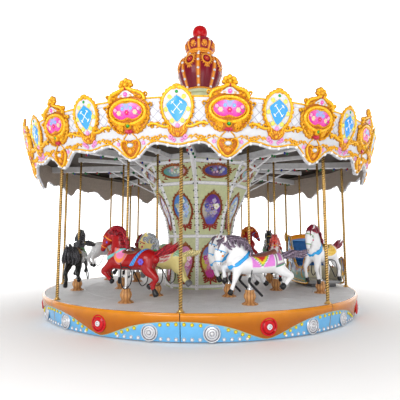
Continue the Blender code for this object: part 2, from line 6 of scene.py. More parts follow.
import bmesh
import bpy
import numpy as np
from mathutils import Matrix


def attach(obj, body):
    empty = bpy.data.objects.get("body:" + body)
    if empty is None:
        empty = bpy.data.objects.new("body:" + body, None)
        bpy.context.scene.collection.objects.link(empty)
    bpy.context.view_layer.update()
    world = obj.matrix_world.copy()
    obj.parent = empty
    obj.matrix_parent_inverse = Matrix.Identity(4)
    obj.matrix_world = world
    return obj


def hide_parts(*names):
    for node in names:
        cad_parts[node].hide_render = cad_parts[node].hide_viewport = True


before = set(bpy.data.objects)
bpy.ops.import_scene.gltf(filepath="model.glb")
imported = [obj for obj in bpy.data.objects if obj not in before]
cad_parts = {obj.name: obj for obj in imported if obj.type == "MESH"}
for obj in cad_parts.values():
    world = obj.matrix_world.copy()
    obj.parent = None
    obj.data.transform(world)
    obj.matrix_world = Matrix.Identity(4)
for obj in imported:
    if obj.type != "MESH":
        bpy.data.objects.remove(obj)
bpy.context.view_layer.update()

# Camera: eye height of a standing adult's chest, a little to the right of a pole, tilted up six degrees.
# The lens and place come from a fit to the poles, cartouches and rims seen in the photograph.
camera = bpy.data.objects.new("camera", bpy.data.cameras.new("camera"))
bpy.context.scene.collection.objects.link(camera)
camera.data.sensor_width = 36.0
camera.data.lens = 33.92
CAMERA_TURN = np.radians(4.95)
camera.location = (7.1415 * np.sin(CAMERA_TURN), -7.1415 * np.cos(CAMERA_TURN), 1.196)
camera.rotation_euler = (np.radians(90.0 + 5.99), 0.0, CAMERA_TURN)
bpy.context.scene.camera = camera

# Floor and light: a plain pale studio, with a broad key from the front left, a low front light and a fill.
# The world is a plain soft white, which the photograph's cut-out background is too.
scene = bpy.context.scene
scene.view_settings.view_transform = "Standard"
PURE_WHITE = (1.0, 1.0, 1.0, 1.0)


def feed(tree, made, **values):
    """Gives a node its settings (small letters) and inputs (capitals): a value, or another node's output."""
    for name, value in values.items():
        if name[0].islower():
            setattr(made, name, value)
        elif isinstance(value, bpy.types.NodeSocket):
            tree.links.new(value, made.inputs[name.replace("_", " ")])
        else:
            made.inputs[name.replace("_", " ")].default_value = value
    return made.outputs


def node(tree, kind, **values):
    """The outputs of a new node of this kind, fed with the values."""
    return feed(tree, tree.nodes.new("ShaderNode" + kind), **values)


def painted_sheet(name, points, faces):
    """A stage object of plain faces, and its material's node tree."""
    mesh = bpy.data.meshes.new(name)
    mesh.from_pydata(points, [], faces)
    material = bpy.data.materials.new(name)
    material.use_nodes = True
    mesh.materials.append(material)
    sheet = bpy.data.objects.new(name, mesh)
    scene.collection.objects.link(sheet)
    return sheet, material.node_tree


scene.world = bpy.data.worlds.new("studio")
scene.world.use_nodes = True
tree = scene.world.node_tree
feed(tree, tree.nodes["Background"], Color=PURE_WHITE, Strength=.42)
floor, tree = painted_sheet("floor", [(-40, -40, 0), (40, -40, 0), (40, 40, 0), (-40, 40, 0)], [(0, 1, 2, 3)])
away = node(tree, "VectorMath", operation="LENGTH", Vector=node(tree, "TexCoord")["Object"])["Value"]
fade = node(tree, "MapRange", Value=away, From_Min=2.8, From_Max=10.0, To_Min=.05, To_Max=.9)["Result"]
feed(tree, tree.nodes["Principled BSDF"], Base_Color=(.97, .97, .97, 1.0), Roughness=.9,
     Emission_Strength=fade, Emission_Color=PURE_WHITE)
bend = np.radians(np.linspace(-75, 75, 41))
corners = [(x, y, z) for z in (0.0, 30.0) for x, y in zip(30 * np.sin(bend), 30 * np.cos(bend))]
backdrop, tree = painted_sheet("backdrop", corners, [(k, k + 1, 42 + k, 41 + k) for k in range(40)])
feed(tree, tree.nodes["Principled BSDF"], Emission_Color=PURE_WHITE, Emission_Strength=.9)


def area_light(name, place, target, size, power):
    """A round lamp at a place, turned to face its target."""
    data = bpy.data.lights.new(name, "AREA")
    data.shape = "DISK"
    data.size = size
    data.energy = power
    light = bpy.data.objects.new(name, data)
    light.location = place
    aim = np.array(target) - np.array(place)
    light.rotation_euler = (np.arccos(-aim[2] / np.linalg.norm(aim)), 0.0, np.arctan2(-aim[0], aim[1]))
    scene.collection.objects.link(light)


area_light("key", (-4.0, -11.5, 4.6), (0.0, 0.0, 1.6), 5.0, 440.0)
area_light("front", (.5, -9.5, 1.3), (0.0, 0.0, 1.6), 4.0, 130.0)
area_light("fill", (9.0, -9.0, 4.0), (0.0, 0.0, 1.5), 6.0, 160.0)

# Deck: fibreboard panels with a light grey anti-slip coat, laid in rings on the steel boss and edge.
# Each panel is a plate with eased edges, and a narrow dark joint shows between them.


def at(radius, degrees, height):
    """Points at these radii, angles from the front and heights, of any matching array shapes."""
    a = np.radians(degrees)
    x = radius * np.sin(a)
    y = -radius * np.cos(a)
    return np.stack(np.broadcast_arrays(x, y, height), -1).astype(float)


def grid(points, colour=(1, 1, 1), wrap_u=False, wrap_v=False, mat=0):
    """A surface patch from an array of points (u, v, 3): faces look along u cross v."""
    nu, nv = points.shape[:2]
    u = np.arange(nu if wrap_u else nu - 1)[:, None]
    v = np.arange(nv if wrap_v else nv - 1)[None, :]
    nu_next = (u + 1) % nu
    nv_next = (v + 1) % nv
    faces = np.stack([u * nv + v, nu_next * nv + v, nu_next * nv + nv_next, u * nv + nv_next], -1)
    colour = np.broadcast_to(np.asarray(colour, float), points.shape)
    return points.reshape(-1, 3), faces.reshape(-1, 4), colour.reshape(-1, 3), mat


def moved(part, matrices):
    """Copies of a part, one for each 4 by 4 matrix, as one part."""
    points, faces, colour, mat = part
    matrices = np.asarray(matrices, float).reshape(-1, 4, 4)
    placed = np.einsum("kij,nj->kni", matrices[:, :3, :3], points) + matrices[:, None, :3, 3]
    shift = np.arange(len(matrices))[:, None, None] * len(points)
    return placed.reshape(-1, 3), (faces[None] + shift).reshape(-1, 4), np.tile(colour, (len(matrices), 1)), mat


def turns(degrees):
    """Matrices that turn about the upright axis by these angles."""
    a = np.radians(np.atleast_1d(np.asarray(degrees, float)))
    out = np.tile(np.eye(4), (len(a), 1, 1))
    out[:, 0, 0] = out[:, 1, 1] = np.cos(a)
    out[:, 1, 0] = np.sin(a)
    out[:, 0, 1] = -np.sin(a)
    return out


def shift(x, y, z):
    """A matrix that moves by x, y and z."""
    out = np.eye(4)
    out[:3, 3] = (x, y, z)
    return out


def lathe(profile, sides, colour=(1, 1, 1), mat=0):
    """A surface of revolution about Z: (radius, height) pairs from low to high, carried round."""
    profile = np.asarray(profile, float)
    angle = np.arange(sides)[:, None] * 360.0 / sides
    return grid(at(profile[None, :, 0], angle, profile[None, :, 1]), colour, wrap_u=True, mat=mat)


def blend(low, high, share):
    """Colours from low to high, by these shares."""
    return np.array(low) + (np.array(high) - np.array(low)) * share


def make(name, parts, materials, replaces=(), body="turntable", sharp=40.0):
    """A scene object of the parts, which rides on the body and stands for the CAD nodes named."""
    counts = np.cumsum([0] + [len(part[0]) for part in parts])
    points = np.concatenate([part[0] for part in parts])
    faces = np.concatenate([part[1] + start for part, start in zip(parts, counts)])
    colour = np.concatenate([part[2] for part in parts])
    slots = np.concatenate([np.full(len(part[1]), part[3]) for part in parts])
    mesh = bpy.data.meshes.new(name)
    mesh.vertices.add(len(points))
    mesh.vertices.foreach_set("co", points.astype(np.float32).ravel())
    corners = np.where(faces[:, 2] == faces[:, 3], 3, 4)
    used = np.arange(4)[None, :] < corners[:, None]
    mesh.loops.add(int(corners.sum()))
    mesh.loops.foreach_set("vertex_index", faces[used].astype(np.int32))
    mesh.polygons.add(len(faces))
    mesh.polygons.foreach_set("loop_start", (np.cumsum(corners) - corners).astype(np.int32))
    mesh.polygons.foreach_set("material_index", slots.astype(np.int32))
    paint = mesh.attributes.new("paint", "FLOAT_COLOR", "POINT")
    paint.data.foreach_set("color", np.column_stack([colour, np.ones(len(colour))]).astype(np.float32).ravel())
    mesh.update(calc_edges=True)
    bm = bmesh.new()
    bm.from_mesh(mesh)
    bmesh.ops.remove_doubles(bm, verts=bm.verts, dist=.00002)
    bm.to_mesh(mesh)
    bm.free()
    mesh.shade_smooth()
    mesh.set_sharp_from_angle(angle=np.radians(sharp))
    for material in materials:
        mesh.materials.append(material)
    obj = bpy.data.objects.new(name, mesh)
    scene.collection.objects.link(obj)
    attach(obj, body)
    if replaces:
        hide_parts(*replaces)
    return obj


def finish(name, colour=None, rough=.4, metal=0.0, spread=.08, grain=8.0, bump=.1, coat=0.0, dirt=0.0,
           stretch=(1.0, 1.0, 1.0), lift=.002, curls=0.0):
    """A material whose colour, gloss and surface vary with noise. With no colour it takes each point's paint,
    and curls lightens it along fine wavy lines."""
    material = bpy.data.materials.new(name)
    material.use_nodes = True
    tree = material.node_tree
    place = node(tree, "Mapping", Vector=node(tree, "TexCoord")["Object"], Scale=stretch)["Vector"]
    fine = node(tree, "TexNoise", Vector=place, Scale=grain, Detail=6.0)["Fac"]
    broad = node(tree, "TexNoise", Vector=place, Scale=grain * .12, Detail=4.0)["Fac"]
    tone = node(tree, "MapRange", Value=fine, From_Min=.3, From_Max=.7, To_Min=1.0 - spread, To_Max=1.0 + spread * .6)
    if curls:
        waves = node(tree, "TexWave", Vector=place, Scale=17.0, Distortion=7.0, Detail_Scale=3.0)["Fac"]
        tone = node(tree, "MapRange", Value=waves, From_Min=.62, To_Min=.8, To_Max=1.0 + curls)
    base = colour or node(tree, "Attribute", attribute_name="paint")["Color"]
    shade = node(tree, "VectorMath", operation="SCALE", Vector=base, Scale=tone["Result"])["Vector"]
    wear = node(tree, "MapRange", Value=broad, From_Min=.35, From_Max=.75, To_Min=0.0, To_Max=dirt)["Result"]
    worn = node(tree, "Mix", data_type="RGBA", Factor=wear, A=shade, B=(.3, .27, .23, 1.0))["Result"]
    gloss = node(tree, "MapRange", Value=broad, From_Min=.3, From_Max=.7, To_Min=rough * .8,
                 To_Max=min(1.0, rough * 1.25))
    ripple = node(tree, "Bump", Strength=bump, Distance=lift, Height=fine)["Normal"]
    feed(tree, tree.nodes["Principled BSDF"], Base_Color=worn, Roughness=gloss["Result"], Normal=ripple, Metallic=metal,
         Specular_IOR_Level=.2, Coat_Weight=coat, Coat_Roughness=.08)
    return material


deck_coat = finish("deck_coat", (.8, .8, .81), rough=.55, spread=.1, grain=60.0, bump=.25, dirt=.12)
deck_under = finish("deck_under", (.2, .2, .21), rough=.6, grain=20.0)
DECK_TOP = .348
EIGHTHS = 45.0 * np.arange(8)
ROWS = {"outer": 2.176, "inner": 1.445}
urn_places = [(ROWS["outer"], a) for a in (-157.5, -112.5, -67.5, -22.5, 22.5, 67.5, 157.5)]
urn_places += [(ROWS["inner"], 22.5 + 45.0 * k) for k in range(8)]
bores = np.array([at(r, a, 0.0)[:2] for r, a in urn_places])


def deck_panel(inner, outer, wide):
    """A plate `wide` degrees across: a polar grid whose outer rows and columns fall 12 mm into the joints."""
    joint = .0022
    deep = outer - inner
    near_poles = [r + side - inner for r in ROWS.values() for side in (-.025, .025) if inner < r < outer]
    across = [0, 0, .004, *np.sort([.02, deep / 2, deep - .02, *near_poles]), deep - .004, deep, deep]
    radius = np.clip(inner + np.array(across), inner + joint, outer - joint)
    columns = [*np.linspace(.3, wide - .3, 10), 1.0, wide - 1.0, wide / 2 - .66, wide / 2 + .66]
    angle = np.array([0, 0, .06, *np.sort(columns), wide - .06, wide, wide])
    angle = np.clip(angle, np.degrees(joint / 1.8), wide - np.degrees(joint / 1.8))
    fall, turn_fall = [np.array([.012, .002, *[0.0] * (len(line) - 4), .002, .012]) for line in (radius, angle)]
    return grid(at(radius[None, :], angle[:, None], DECK_TOP - np.maximum(turn_fall[:, None], fall)))


def bored(part):
    """Leaves out the faces in the poles' bores."""
    points, faces, colour, mat = part
    gap = np.linalg.norm(points[faces].mean(1)[:, None, :2] - bores, axis=-1).min(1)
    return points, faces[gap > .031], colour, mat


deck_parts = []
for inner, outer, count, offset in ((.6, 1.35, 8, 22.5), (1.35, 2.02, 16, 0.0), (2.02, 2.668, 16, 11.25)):
    width = 360.0 / count
    deck_parts.append(bored(moved(deck_panel(inner, outer, width), turns(offset + width * np.arange(count)))))
near_poles = [1.42, 1.47, 2.151, 2.201]
slab = [(0.0, .212), (.26, .212), (.26, .3), (.262, .308), *[(r, .308) for r in near_poles],
        (2.655, .308), (2.667, .32), (2.667, .338), *[(r, .338) for r in near_poles[::-1]], (0.0, .338)]
columns = np.sort(np.concatenate([np.arange(96) * 3.75, EIGHTHS + 21.5, EIGHTHS + 23.5]))
radius, height = np.array(slab).T
deck_parts.append(bored(grid(at(radius[None, :], columns[:, None], height[None, :]), wrap_u=True, mat=1)))
bush = lathe([(.021, .306), (.04, .306), (.04, .3485), (.021, .3485), (.021, .306)], 24, mat=1)
deck_parts.append(moved(bush, [shift(x, y, 0.0) for x, y in bores]))
make("deck_floor", deck_parts, [deck_coat, deck_under], ["deck"])

# Pedestals: cast resin urns, painted an orange brown, with a ring of upright leaves round the bulge.
# Each is screwed to the deck by its scalloped foot, and a nickel collar on top guides the horse's pole.
urn_paint = finish("urn_paint", None, rough=.38, spread=.16, grain=22.0, bump=.25, coat=.2)
nickel = finish("nickel", (.7, .71, .73), rough=.22, metal=1.0, spread=.06, grain=30.0, bump=.05)


def urn():
    """The urn: radius = profile of height x (1 + leaf ripple of the angle), the ripple strongest at the bulge."""
    height = np.linspace(0.0, 1.0, 25)
    knots = np.array([0.0, .03, .08, .14, .2, .28, .42, .58, .74, .84, .9, .96, 1.0])
    radii = np.array([.112, .114, .104, .08, .062, .064, .078, .083, .074, .06, .062, .064, .05])
    radius = np.interp(height, knots, radii)
    leaf = np.interp(height, [0.0, .1, .22, .32, .6, .82, .9, 1.0], [.1, .12, .02, .06, .13, .05, 0.0, 0.0])
    angle = np.arange(40)[:, None] * 9.0
    fold = np.abs(np.cos(np.radians(angle) * 5.0)) ** .7
    scallop = .5 + .5 * np.cos(np.radians(angle) * 10.0)
    wave = np.where(height[None, :] < .16, scallop, fold)
    full = radius[None, :] * (1.0 - leaf[None, :] * (1.0 - wave))
    # The paint is darker in the folds between the leaves and at the narrow waists, and lighter on the leaves: painted
    # shade and highlight.
    tone = np.clip(wave * 1.1, 0, 1) * np.interp(height, [0, .05, .2, .5, .86, 1.0], [.6, .9, .4, .9, .6, 1.0])[None, :]
    colour = blend((.3, .115, .035), (.8, .42, .16), tone[..., None])
    z = DECK_TOP + .0005 + .19 * height
    body = grid(at(full, angle, z[None, :]), colour, wrap_u=True)
    collar = np.array([(.05, .188), (.036, .192), (.034, .212), (.03, .216), (.0195, .216)]) + (0, DECK_TOP)
    collar = lathe(collar, 16, mat=1)
    return [body, collar]


urn_matrices = [shift(*at(r, a, 0.0)) @ turns(a)[0] for r, a in urn_places]
make("pedestals", [moved(part, urn_matrices) for part in urn()], [urn_paint, nickel])

# Skirt: eight moulded glass-fibre panels hung on the deck's edge, gloss orange over sky blue.
# The orange part stands proud in a wave that drops round a red lamp in the middle of each panel.
skirt_paint = finish("skirt_paint", None, rough=.2, spread=.07, grain=9.0, bump=.04, coat=.4)
LOW_Z = .015
HIGH_Z = .348


def skirt_radius(z):
    """The panels' radius at this height: they lean out by 50 mm from foot to top."""
    return 2.646 + .05 * (z - LOW_Z) / (HIGH_Z - LOW_Z)


def wave_height(offset):
    """Height of the orange edge at this angle past a seam: low in the middle, level near the seams."""
    w = np.abs(offset - 22.5) / 22.5
    return .03 + .23 * (1.0 - np.exp(-(w / .42) ** 1.6))


def skirt_panel():
    """Radius grows by 9 mm over a short step at the wave's edge, and bows out above it."""
    offset = np.linspace(.1, 44.9, 65)
    edge = wave_height(offset)[:, None]
    rise = np.concatenate([np.linspace(0, .94, 6), [.965, .985, 1.0]])
    fall = np.concatenate([[0.0, .02, .05], np.linspace(.12, .88, 6), [.93, .97, 1.0]])
    blue_z = LOW_Z + (edge - LOW_Z) * rise
    orange_z = edge + (HIGH_Z - edge) * fall
    z = np.concatenate([blue_z, orange_z], 1)
    step = np.concatenate([np.zeros_like(blue_z),
        np.clip(.009 + .012 * np.sin(np.pi * fall) ** .6, 0, 1) + 0 * orange_z], 1)
    radius = skirt_radius(z) + step * np.clip((HIGH_Z - z) / .02, .2, 1.0)
    # Both colours are darker towards the foot and lighter towards the top: painted shade.
    top = np.clip((z - .2) / .13, 0, 1)[..., None] ** 1.5
    orange = blend((.46, .125, .002), (.72, .25, .008), top)
    sky = np.array((.16, .5, .86)) * (.9 + .15 * (z[..., None] / .26))
    gap = (edge - z)[..., None]
    colour = np.where(gap > .011, sky, (.42, .6, .42))
    colour = np.where(gap <= 0.0, orange, colour)
    front = grid(at(radius, offset[:, None], z), colour)
    back_z = np.linspace(HIGH_Z, LOW_Z, 6)
    back = grid(at(skirt_radius(back_z)[None, :] - .024, offset[:, None], back_z[None, :]), (.35, .35, .36))
    top_r = np.stack([skirt_radius(HIGH_Z) + np.array([.002, -.004, -.02, -.024])])
    top_z = np.array([HIGH_Z, HIGH_Z + .003, HIGH_Z + .003, HIGH_Z])
    lip_part = grid(at(top_r + 0 * offset[:, None], offset[:, None], top_z[None, :]), (.62, .25, .03))
    low_r = np.array([[skirt_radius(LOW_Z) - .024, skirt_radius(LOW_Z)]])
    foot = grid(at(low_r + 0 * offset[:, None], offset[:, None], LOW_Z), sky[0, 0])
    ends = []
    for side, angle in ((1, offset[0]), (-1, offset[-1])):
        zz = np.linspace(LOW_Z, HIGH_Z, 8)
        strip = np.stack([at(skirt_radius(zz) - .024, angle, zz), at(skirt_radius(zz) + .002, angle, zz)])[::side]
        ends.append(grid(strip, (.5, .3, .1)))
    return [front, back, lip_part, foot, *ends]


eight = turns(EIGHTHS)
make("skirt_panels", [moved(part, eight) for part in skirt_panel()], [skirt_paint],
    [f"skirt_{k}" for k in range(1, 9)])

# Skirt lamps and bulbs: red and silver reflector lamps in turned rings, small bulbs in nickel cups.
# They're screwed through the panels, the yellow row along the wave and the white row along the foot.
lamp_paint = finish("lamp_paint", None, rough=.2, spread=.05, grain=14.0, bump=.03, coat=.25)
lamp_silver = finish("lamp_silver", None, rough=.26, metal=.45, spread=.08, grain=40.0, bump=.05, coat=.3)
bulb_paint = finish("bulb_paint", None, rough=.18, spread=.12, grain=60.0, bump=.05, coat=.5)


def facing(offsets, heights, radii):
    """Matrices that turn +Z outward and level, at these angles, heights and radii."""
    offsets, heights, radii = np.broadcast_arrays(offsets, heights, radii)
    out = np.tile(np.eye(4), (offsets.size, 1, 1))
    a = np.radians(offsets.ravel())
    out[:, :3, 2] = np.stack([np.sin(a), -np.cos(a), 0 * a], -1)
    out[:, :3, 0] = np.stack([np.cos(a), np.sin(a), 0 * a], -1)
    out[:, :3, 1] = np.cross(out[:, :3, 2], out[:, :3, 0])
    out[:, :3, 3] = at(radii.ravel(), offsets.ravel(), heights.ravel())
    return out


def ringed(profile, sides, colours, mat=0):
    """A lathe whose colour is given at each profile point, to be set facing outward."""
    part = lathe(profile, sides, mat=mat)
    colour = np.tile(np.asarray(colours, float), (sides, 1))
    return part[0], part[1], colour, mat


# On both lamps the rings are darker in their grooves: painted shade; the silver lamps are also pale on each crest:
# painted highlights.
RED = (.62, .005, .012)
RED_SHADE = (.36, 0.0, .006)
PALE = (.85, .86, .88)
red_profile = [(.108, -.004), (.111, .006), (.106, .016), (.094, .019), (.086, .011), (.08, .012), (.07, .022),
               (.046, .026), (.036, .022), (.032, .034), (.02, .038), (.015, .03), (.009, .034), (0.0, .035)]
red_lamp = ringed(red_profile, 28,
    [RED_SHADE, RED, RED, RED, RED_SHADE, RED_SHADE, RED, RED, RED_SHADE, PALE, PALE, (.2, .2, .26), PALE, PALE])
STEEL, STEEL_SHADE = (.62, .63, .67), (.16, .16, .2)
silver_profile = [(.1, -.004), (.104, .006), (.097, .016), (.089, .015), (.085, .005), (.081, .005), (.077, .013),
                  (.06, .015), (.056, .008), (.052, .009), (.046, .016), (.028, .018), (.024, .013), (.016, .024),
                  (0.0, .026)]
silver_lamp = ringed(silver_profile, 28,
    [STEEL_SHADE, STEEL, PALE, STEEL, STEEL_SHADE, STEEL_SHADE, STEEL, PALE, (.36, .36, .4), (.4, .4, .44), PALE, STEEL,
        (.34, .34, .38), PALE, PALE], mat=1)
red_places = facing(EIGHTHS + 22.5, .176, skirt_radius(.176) + .018)
silver_places = facing(np.concatenate([EIGHTHS + 7.9, EIGHTHS + 37.1]), .118, skirt_radius(.118) + .003)
make("skirt_lamps", [moved(red_lamp, red_places), moved(silver_lamp, silver_places)], [lamp_paint, lamp_silver])
bulb_profile = [(.022, -.002), (.024, .003), (.018, .006), (.0155, .012), (.01, .019), (0.0, .0215)]
yellow_bulb = ringed(bulb_profile, 8, [(.5, .5, .05)] * 2 + [(.4, .22, .01)] + [(.88, .74, .03)] * 3)
white_bulb = ringed(bulb_profile, 8, [(.62, .62, .66)] * 2 + [(.24, .24, .3)] + [(.88, .88, .88)] * 3)
spots = np.array([1.0, 3.0, 5.1, 12.0, 13.9, 15.7, 17.4])
spots = np.concatenate([spots, 45.0 - spots])
yellow_z = wave_height(spots) - .034
yellow_at = facing((EIGHTHS[:, None] + spots).ravel(), np.tile(yellow_z, 8), skirt_radius(np.tile(yellow_z, 8)))
spots = np.array([1.0, 3.0, 5.0, 11.0, 13.0, 15.0, 17.0])
spots = np.concatenate([spots, 45.0 - spots])
white_at = facing((EIGHTHS[:, None] + spots).ravel(), .045, skirt_radius(.045))
make("skirt_bulbs", [moved(yellow_bulb, yellow_at), moved(white_bulb, white_at)], [bulb_paint])

# Outer poles: brass tube twisted like rope over a steel core, which ties the deck's edge to the roof.
# They stand in a small flange at the foot.
brass = finish("brass", None, rough=.26, metal=.8, spread=.16, grain=30.0, bump=.08, dirt=.04)
BRASS, BRASS_SHADE = (.7, .43, .13), (.022, .009, .002)


def twisted(radius, low, high, pitch=.064, strands=2, step=.0066, sides=8, depth=.2):
    """Radius x (1 - depth x (1 - |cos(strands / 2 x (angle - turn x height))|)): strands wound round a core."""
    z = np.linspace(low, high, int((high - low) / step) + 1)
    a = np.arange(sides)[:, None] * 360.0 / sides
    phase = strands / 2.0 * (np.radians(a) - 2.0 * np.pi * z[None, :] / pitch)
    ridge = np.abs(np.cos(phase))
    # The brass is near black in the grooves between the strands and bright on their crests: painted shade and
    # highlight.
    colour = blend(BRASS_SHADE, BRASS, ridge[..., None] ** 2.4)
    return grid(at(radius * (1.0 - depth * (1.0 - ridge)), a, z[None, :]), colour, wrap_u=True)


pole = twisted(.0245, DECK_TOP + .028, 2.529)
flange = lathe([(.048, DECK_TOP + .001), (.049, DECK_TOP + .01), (.034, DECK_TOP + .016), (.03, DECK_TOP + .03),
    (.0245, DECK_TOP + .036), (.02, DECK_TOP + .037)], 24, BRASS)
rim = [shift(*at(2.64, a, 0.0)) for a in EIGHTHS]
make("outer_poles", [moved(pole, rim), moved(flange, rim)], [brass],
    [f"outer_pole_{k}" for k in range(1, 9)])


def flow(stations, count):
    """Rows read at even steps from a smooth curve (Catmull-Rom) through the stations' rows."""
    s = np.asarray(stations, float)
    t = np.linspace(0, len(s) - 1, count)
    i = np.clip(t.astype(int), 0, len(s) - 2)
    f = (t - i)[:, None]
    a, b, c, d = s[np.maximum(i - 1, 0)], s[i], s[i + 1], s[np.minimum(i + 2, len(s) - 1)]
    return .5 * (2 * b + (c - a) * f + (2 * a - 5 * b + 4 * c - d) * f ** 2 + (3 * b - a - 3 * c + d) * f ** 3)


# Core: a plywood and steel housing of eight flared sides, in sage green behind white studded mouldings.
# Each side carries three framed panels; the real ones hold pictures, which are plain flower work here.
core_paint = finish("core_paint", (.62, .66, .38), rough=.5, spread=.1, grain=24.0, bump=.1, dirt=.1)
trim_white = finish("trim_white", None, rough=.35, spread=.16, grain=50.0, bump=.2, coat=.1, dirt=.06)
picture_paint = finish("picture_paint", None, rough=.3, spread=.25, grain=70.0, bump=.05, coat=.5)
gold_leaf = finish("gold_leaf", None, rough=.26, metal=.15, spread=.42, grain=55.0, bump=.55, coat=.12, lift=.006)
CORE_RADIUS = [.656, .583, .65, .809, .913, 1.131]
CORE_HEIGHT = [.3483, 1.253, 1.6, 1.946, 2.165, 2.5285]
FLAT = np.cos(np.radians(22.5))
# The darker gold and brown are painted shade for the hollows of the relief; the lighter ones are laid on its ridges.
GOLD = (1.0, .53, .024)
GOLD_SHADE = (.32, .072, .002)
BROWN = (.38, .1, .03)
BROWN_SHADE = (.16, .035, .012)


def ribbon(path, width, height, high=GOLD, low=GOLD_SHADE, across=6, wrap=False, vein=0.0, rise=0.0, mat=0):
    """A raised strip along a path in (u, v): its section is half an ellipse, with a groove along its ridge. Its colour
    runs from low at the edges to high on the ridge: painted shade and highlight.
    """
    path = np.asarray(path, float)
    width = np.broadcast_to(width, len(path))[:, None]
    height = np.broadcast_to(height, len(path))[:, None]
    step = np.roll(path, -1, 0) - np.roll(path, 1, 0) if wrap else np.gradient(path, axis=0)
    step = step / np.maximum(np.linalg.norm(step, axis=1, keepdims=True), 1e-9)
    a = np.linspace(0, np.pi, across)[None, :]
    side = -np.cos(a)
    lift = np.sin(a) * (1.0 - vein * np.exp(-(side / .35) ** 2))
    points = np.stack([
        path[:, :1] - step[:, 1:] * side * width,
        path[:, 1:] + step[:, :1] * side * width,
        rise - .002 + (height + .002) * lift,
    ], -1)
    tone = np.broadcast_to(np.clip(lift * 1.2, 0, 1) ** 1.5, points.shape[:2])[..., None]
    colour = blend(low, high, tone)
    return grid(points, colour, wrap_u=wrap, mat=mat)


def scroll_path(x, y, heading, turn, length, count=16, power=1.6):
    """A path whose heading turns by `turn` degrees, ever faster along its length: a volute."""
    t = np.linspace(0, 1, count)
    a = np.radians(heading + turn * t ** power)
    step = np.stack([np.cos(a), np.sin(a)], -1) * length / (count - 1)
    walk = np.cumsum((step[1:] + step[:-1]) / 2, 0)
    return np.array([x, y]) + np.concatenate([[[0, 0]], walk])


def scroll(x, y, heading, turn, length, width, height=.03, count=12, power=1.6, **more):
    """A volute: the strip swells and thins along its path, and ends in a round eye."""
    more.setdefault("across", 5)
    t = np.linspace(0, 1, count)
    path = scroll_path(x, y, heading, turn, length, count, power)
    swell = width * (.45 + .55 * np.sin(np.pi * np.clip(t * .95 + .08, 0, 1)))
    eye = bead(path[-1, 0], path[-1, 1], width * .95, width * .95, height * 1.1, more.get("high", GOLD),
        more.get("low", GOLD_SHADE), 3, 7, mat=more.get("mat", 0))
    return [ribbon(path, swell, height, **more), eye]


def leaf(x, y, heading, length, width, height=.03, bend=40.0, vein=.45, **more):
    """A pointed leaf with a groove down its middle, which bends by `bend` degrees."""
    count = 4 if length < .07 else 6
    t = np.linspace(0, 1, count)
    path = scroll_path(x, y, heading, bend, length, count, 1.2)
    spread = width * np.sin(np.pi * np.clip(t * .86 + .14, 0, 1)) ** .8
    return ribbon(path, spread, height * (.35 + .65 * np.sin(np.pi * np.clip(t, .1, 1))), across=5, vein=vein, **more)


def bead(x, y, rx, ry, height, high, low=None, rings=4, sides=12, rise=0.0, mat=0):
    """A dome with an oval rim; its colour goes from low at the rim to high on top: painted shade at the rim and a
    painted highlight on top.
    """
    low = high if low is None else low
    s = np.linspace(0, np.pi / 2, rings)[None, :]
    a = np.arange(sides)[:, None] * 2 * np.pi / sides
    points = np.stack(np.broadcast_arrays(x + rx * np.cos(a) * np.cos(s), y + ry * np.sin(a) * np.cos(s),
        rise - .001 + (height + .001) * np.sin(s)), -1)
    colour = blend(low, high, np.sin(s)[..., None] ** 1.5)
    return grid(points, colour + 0 * points, wrap_u=True, mat=mat)


def flower(x, y, radius, colour, centre=(.9, .7, .1), petals=5, height=.014, rise=0.0, mat=0):
    """A rosette: the rim's radius swings with the petals, and the middle is cupped round a bead. Its colour darkens
    into the cup and between the petals: painted shade.
    """
    s = np.array([1.0, .8, .4, 0.0])[None, :]
    a = np.arange(petals * 3)[:, None] * 2 * np.pi / (petals * 3)
    rim = radius * (.7 + .3 * np.abs(np.cos(a * petals / 2)))
    lift = np.array([-.1, .9, .9, .45])[None, :] * (.75 + .25 * np.abs(np.cos(a * petals / 2)))
    points = np.stack([x + rim * s * np.cos(a), y + rim * s * np.sin(a), rise + height * lift], -1)
    tone = (.7 + .3 * s ** .5 * (.6 + .4 * np.abs(np.cos(a * petals / 2))))[..., None]
    return [grid(points, np.array(colour) * tone, wrap_u=True, mat=mat),
        bead(x, y, radius * .24, radius * .24, height * 1.1, centre, mat=mat, sides=6, rings=3, rise=rise)]


def filled(outline, colour, rings=8, height=0.0, rise=0.0, mat=0):
    """A panel inside a closed outline (u, v), slightly domed; colour is a function of u and v, or one colour."""
    outline = np.asarray(outline, float)
    middle = outline.mean(0)
    s = np.linspace(1, 0, rings)[None, :, None]
    flat = middle + (outline[:, None, :] - middle) * s
    points = np.concatenate([flat, rise + height * np.sqrt(np.clip(1 - s ** 2, 0, 1)) + 0 * flat[..., :1]], -1)
    shade = colour(flat[..., 0], flat[..., 1]) if callable(colour) else np.asarray(colour, float) + 0 * points
    return grid(points, shade, wrap_u=True, mat=mat)


def laid(part, where, flip=False):
    """The part with its points (u, v, h) put at where(u, v, h), and its faces turned round by flip."""
    points, faces, colour, mat = part
    return where(*points.T), faces[:, ::-1] if flip else faces, colour, mat


def mirrored(part):
    """The part's mirror image across u = 0."""
    return laid(part, lambda u, v, h: np.stack([-u, v, h], -1), True)


def both(parts):
    """The parts and their mirror images across u = 0."""
    return [*parts, *[mirrored(part) for part in parts]]


def oval(x, y, rx, ry, count=48, notch=0.0):
    """A closed path; notch pinches its sides in at mid height, as on a waisted frame."""
    a = np.arange(count) * 2 * np.pi / count
    pinch = 1.0 - notch * np.cos(2 * a) * .5 - notch * .5 * np.abs(np.cos(a)) ** 8
    return np.stack([x + rx * np.cos(a) * pinch, y + ry * np.sin(a)], -1)


def core_apothem(z):
    """How far a flat side of the core stands from the axis at this height."""
    return np.interp(z, CORE_HEIGHT, CORE_RADIUS) * FLAT


def on_side(part):
    """Lays a (u, v, h) part on the side of the core that faces -Y; v is the height above the ground."""
    return laid(part, lambda u, v, h: np.stack([u, -core_apothem(v) - h, v], -1))


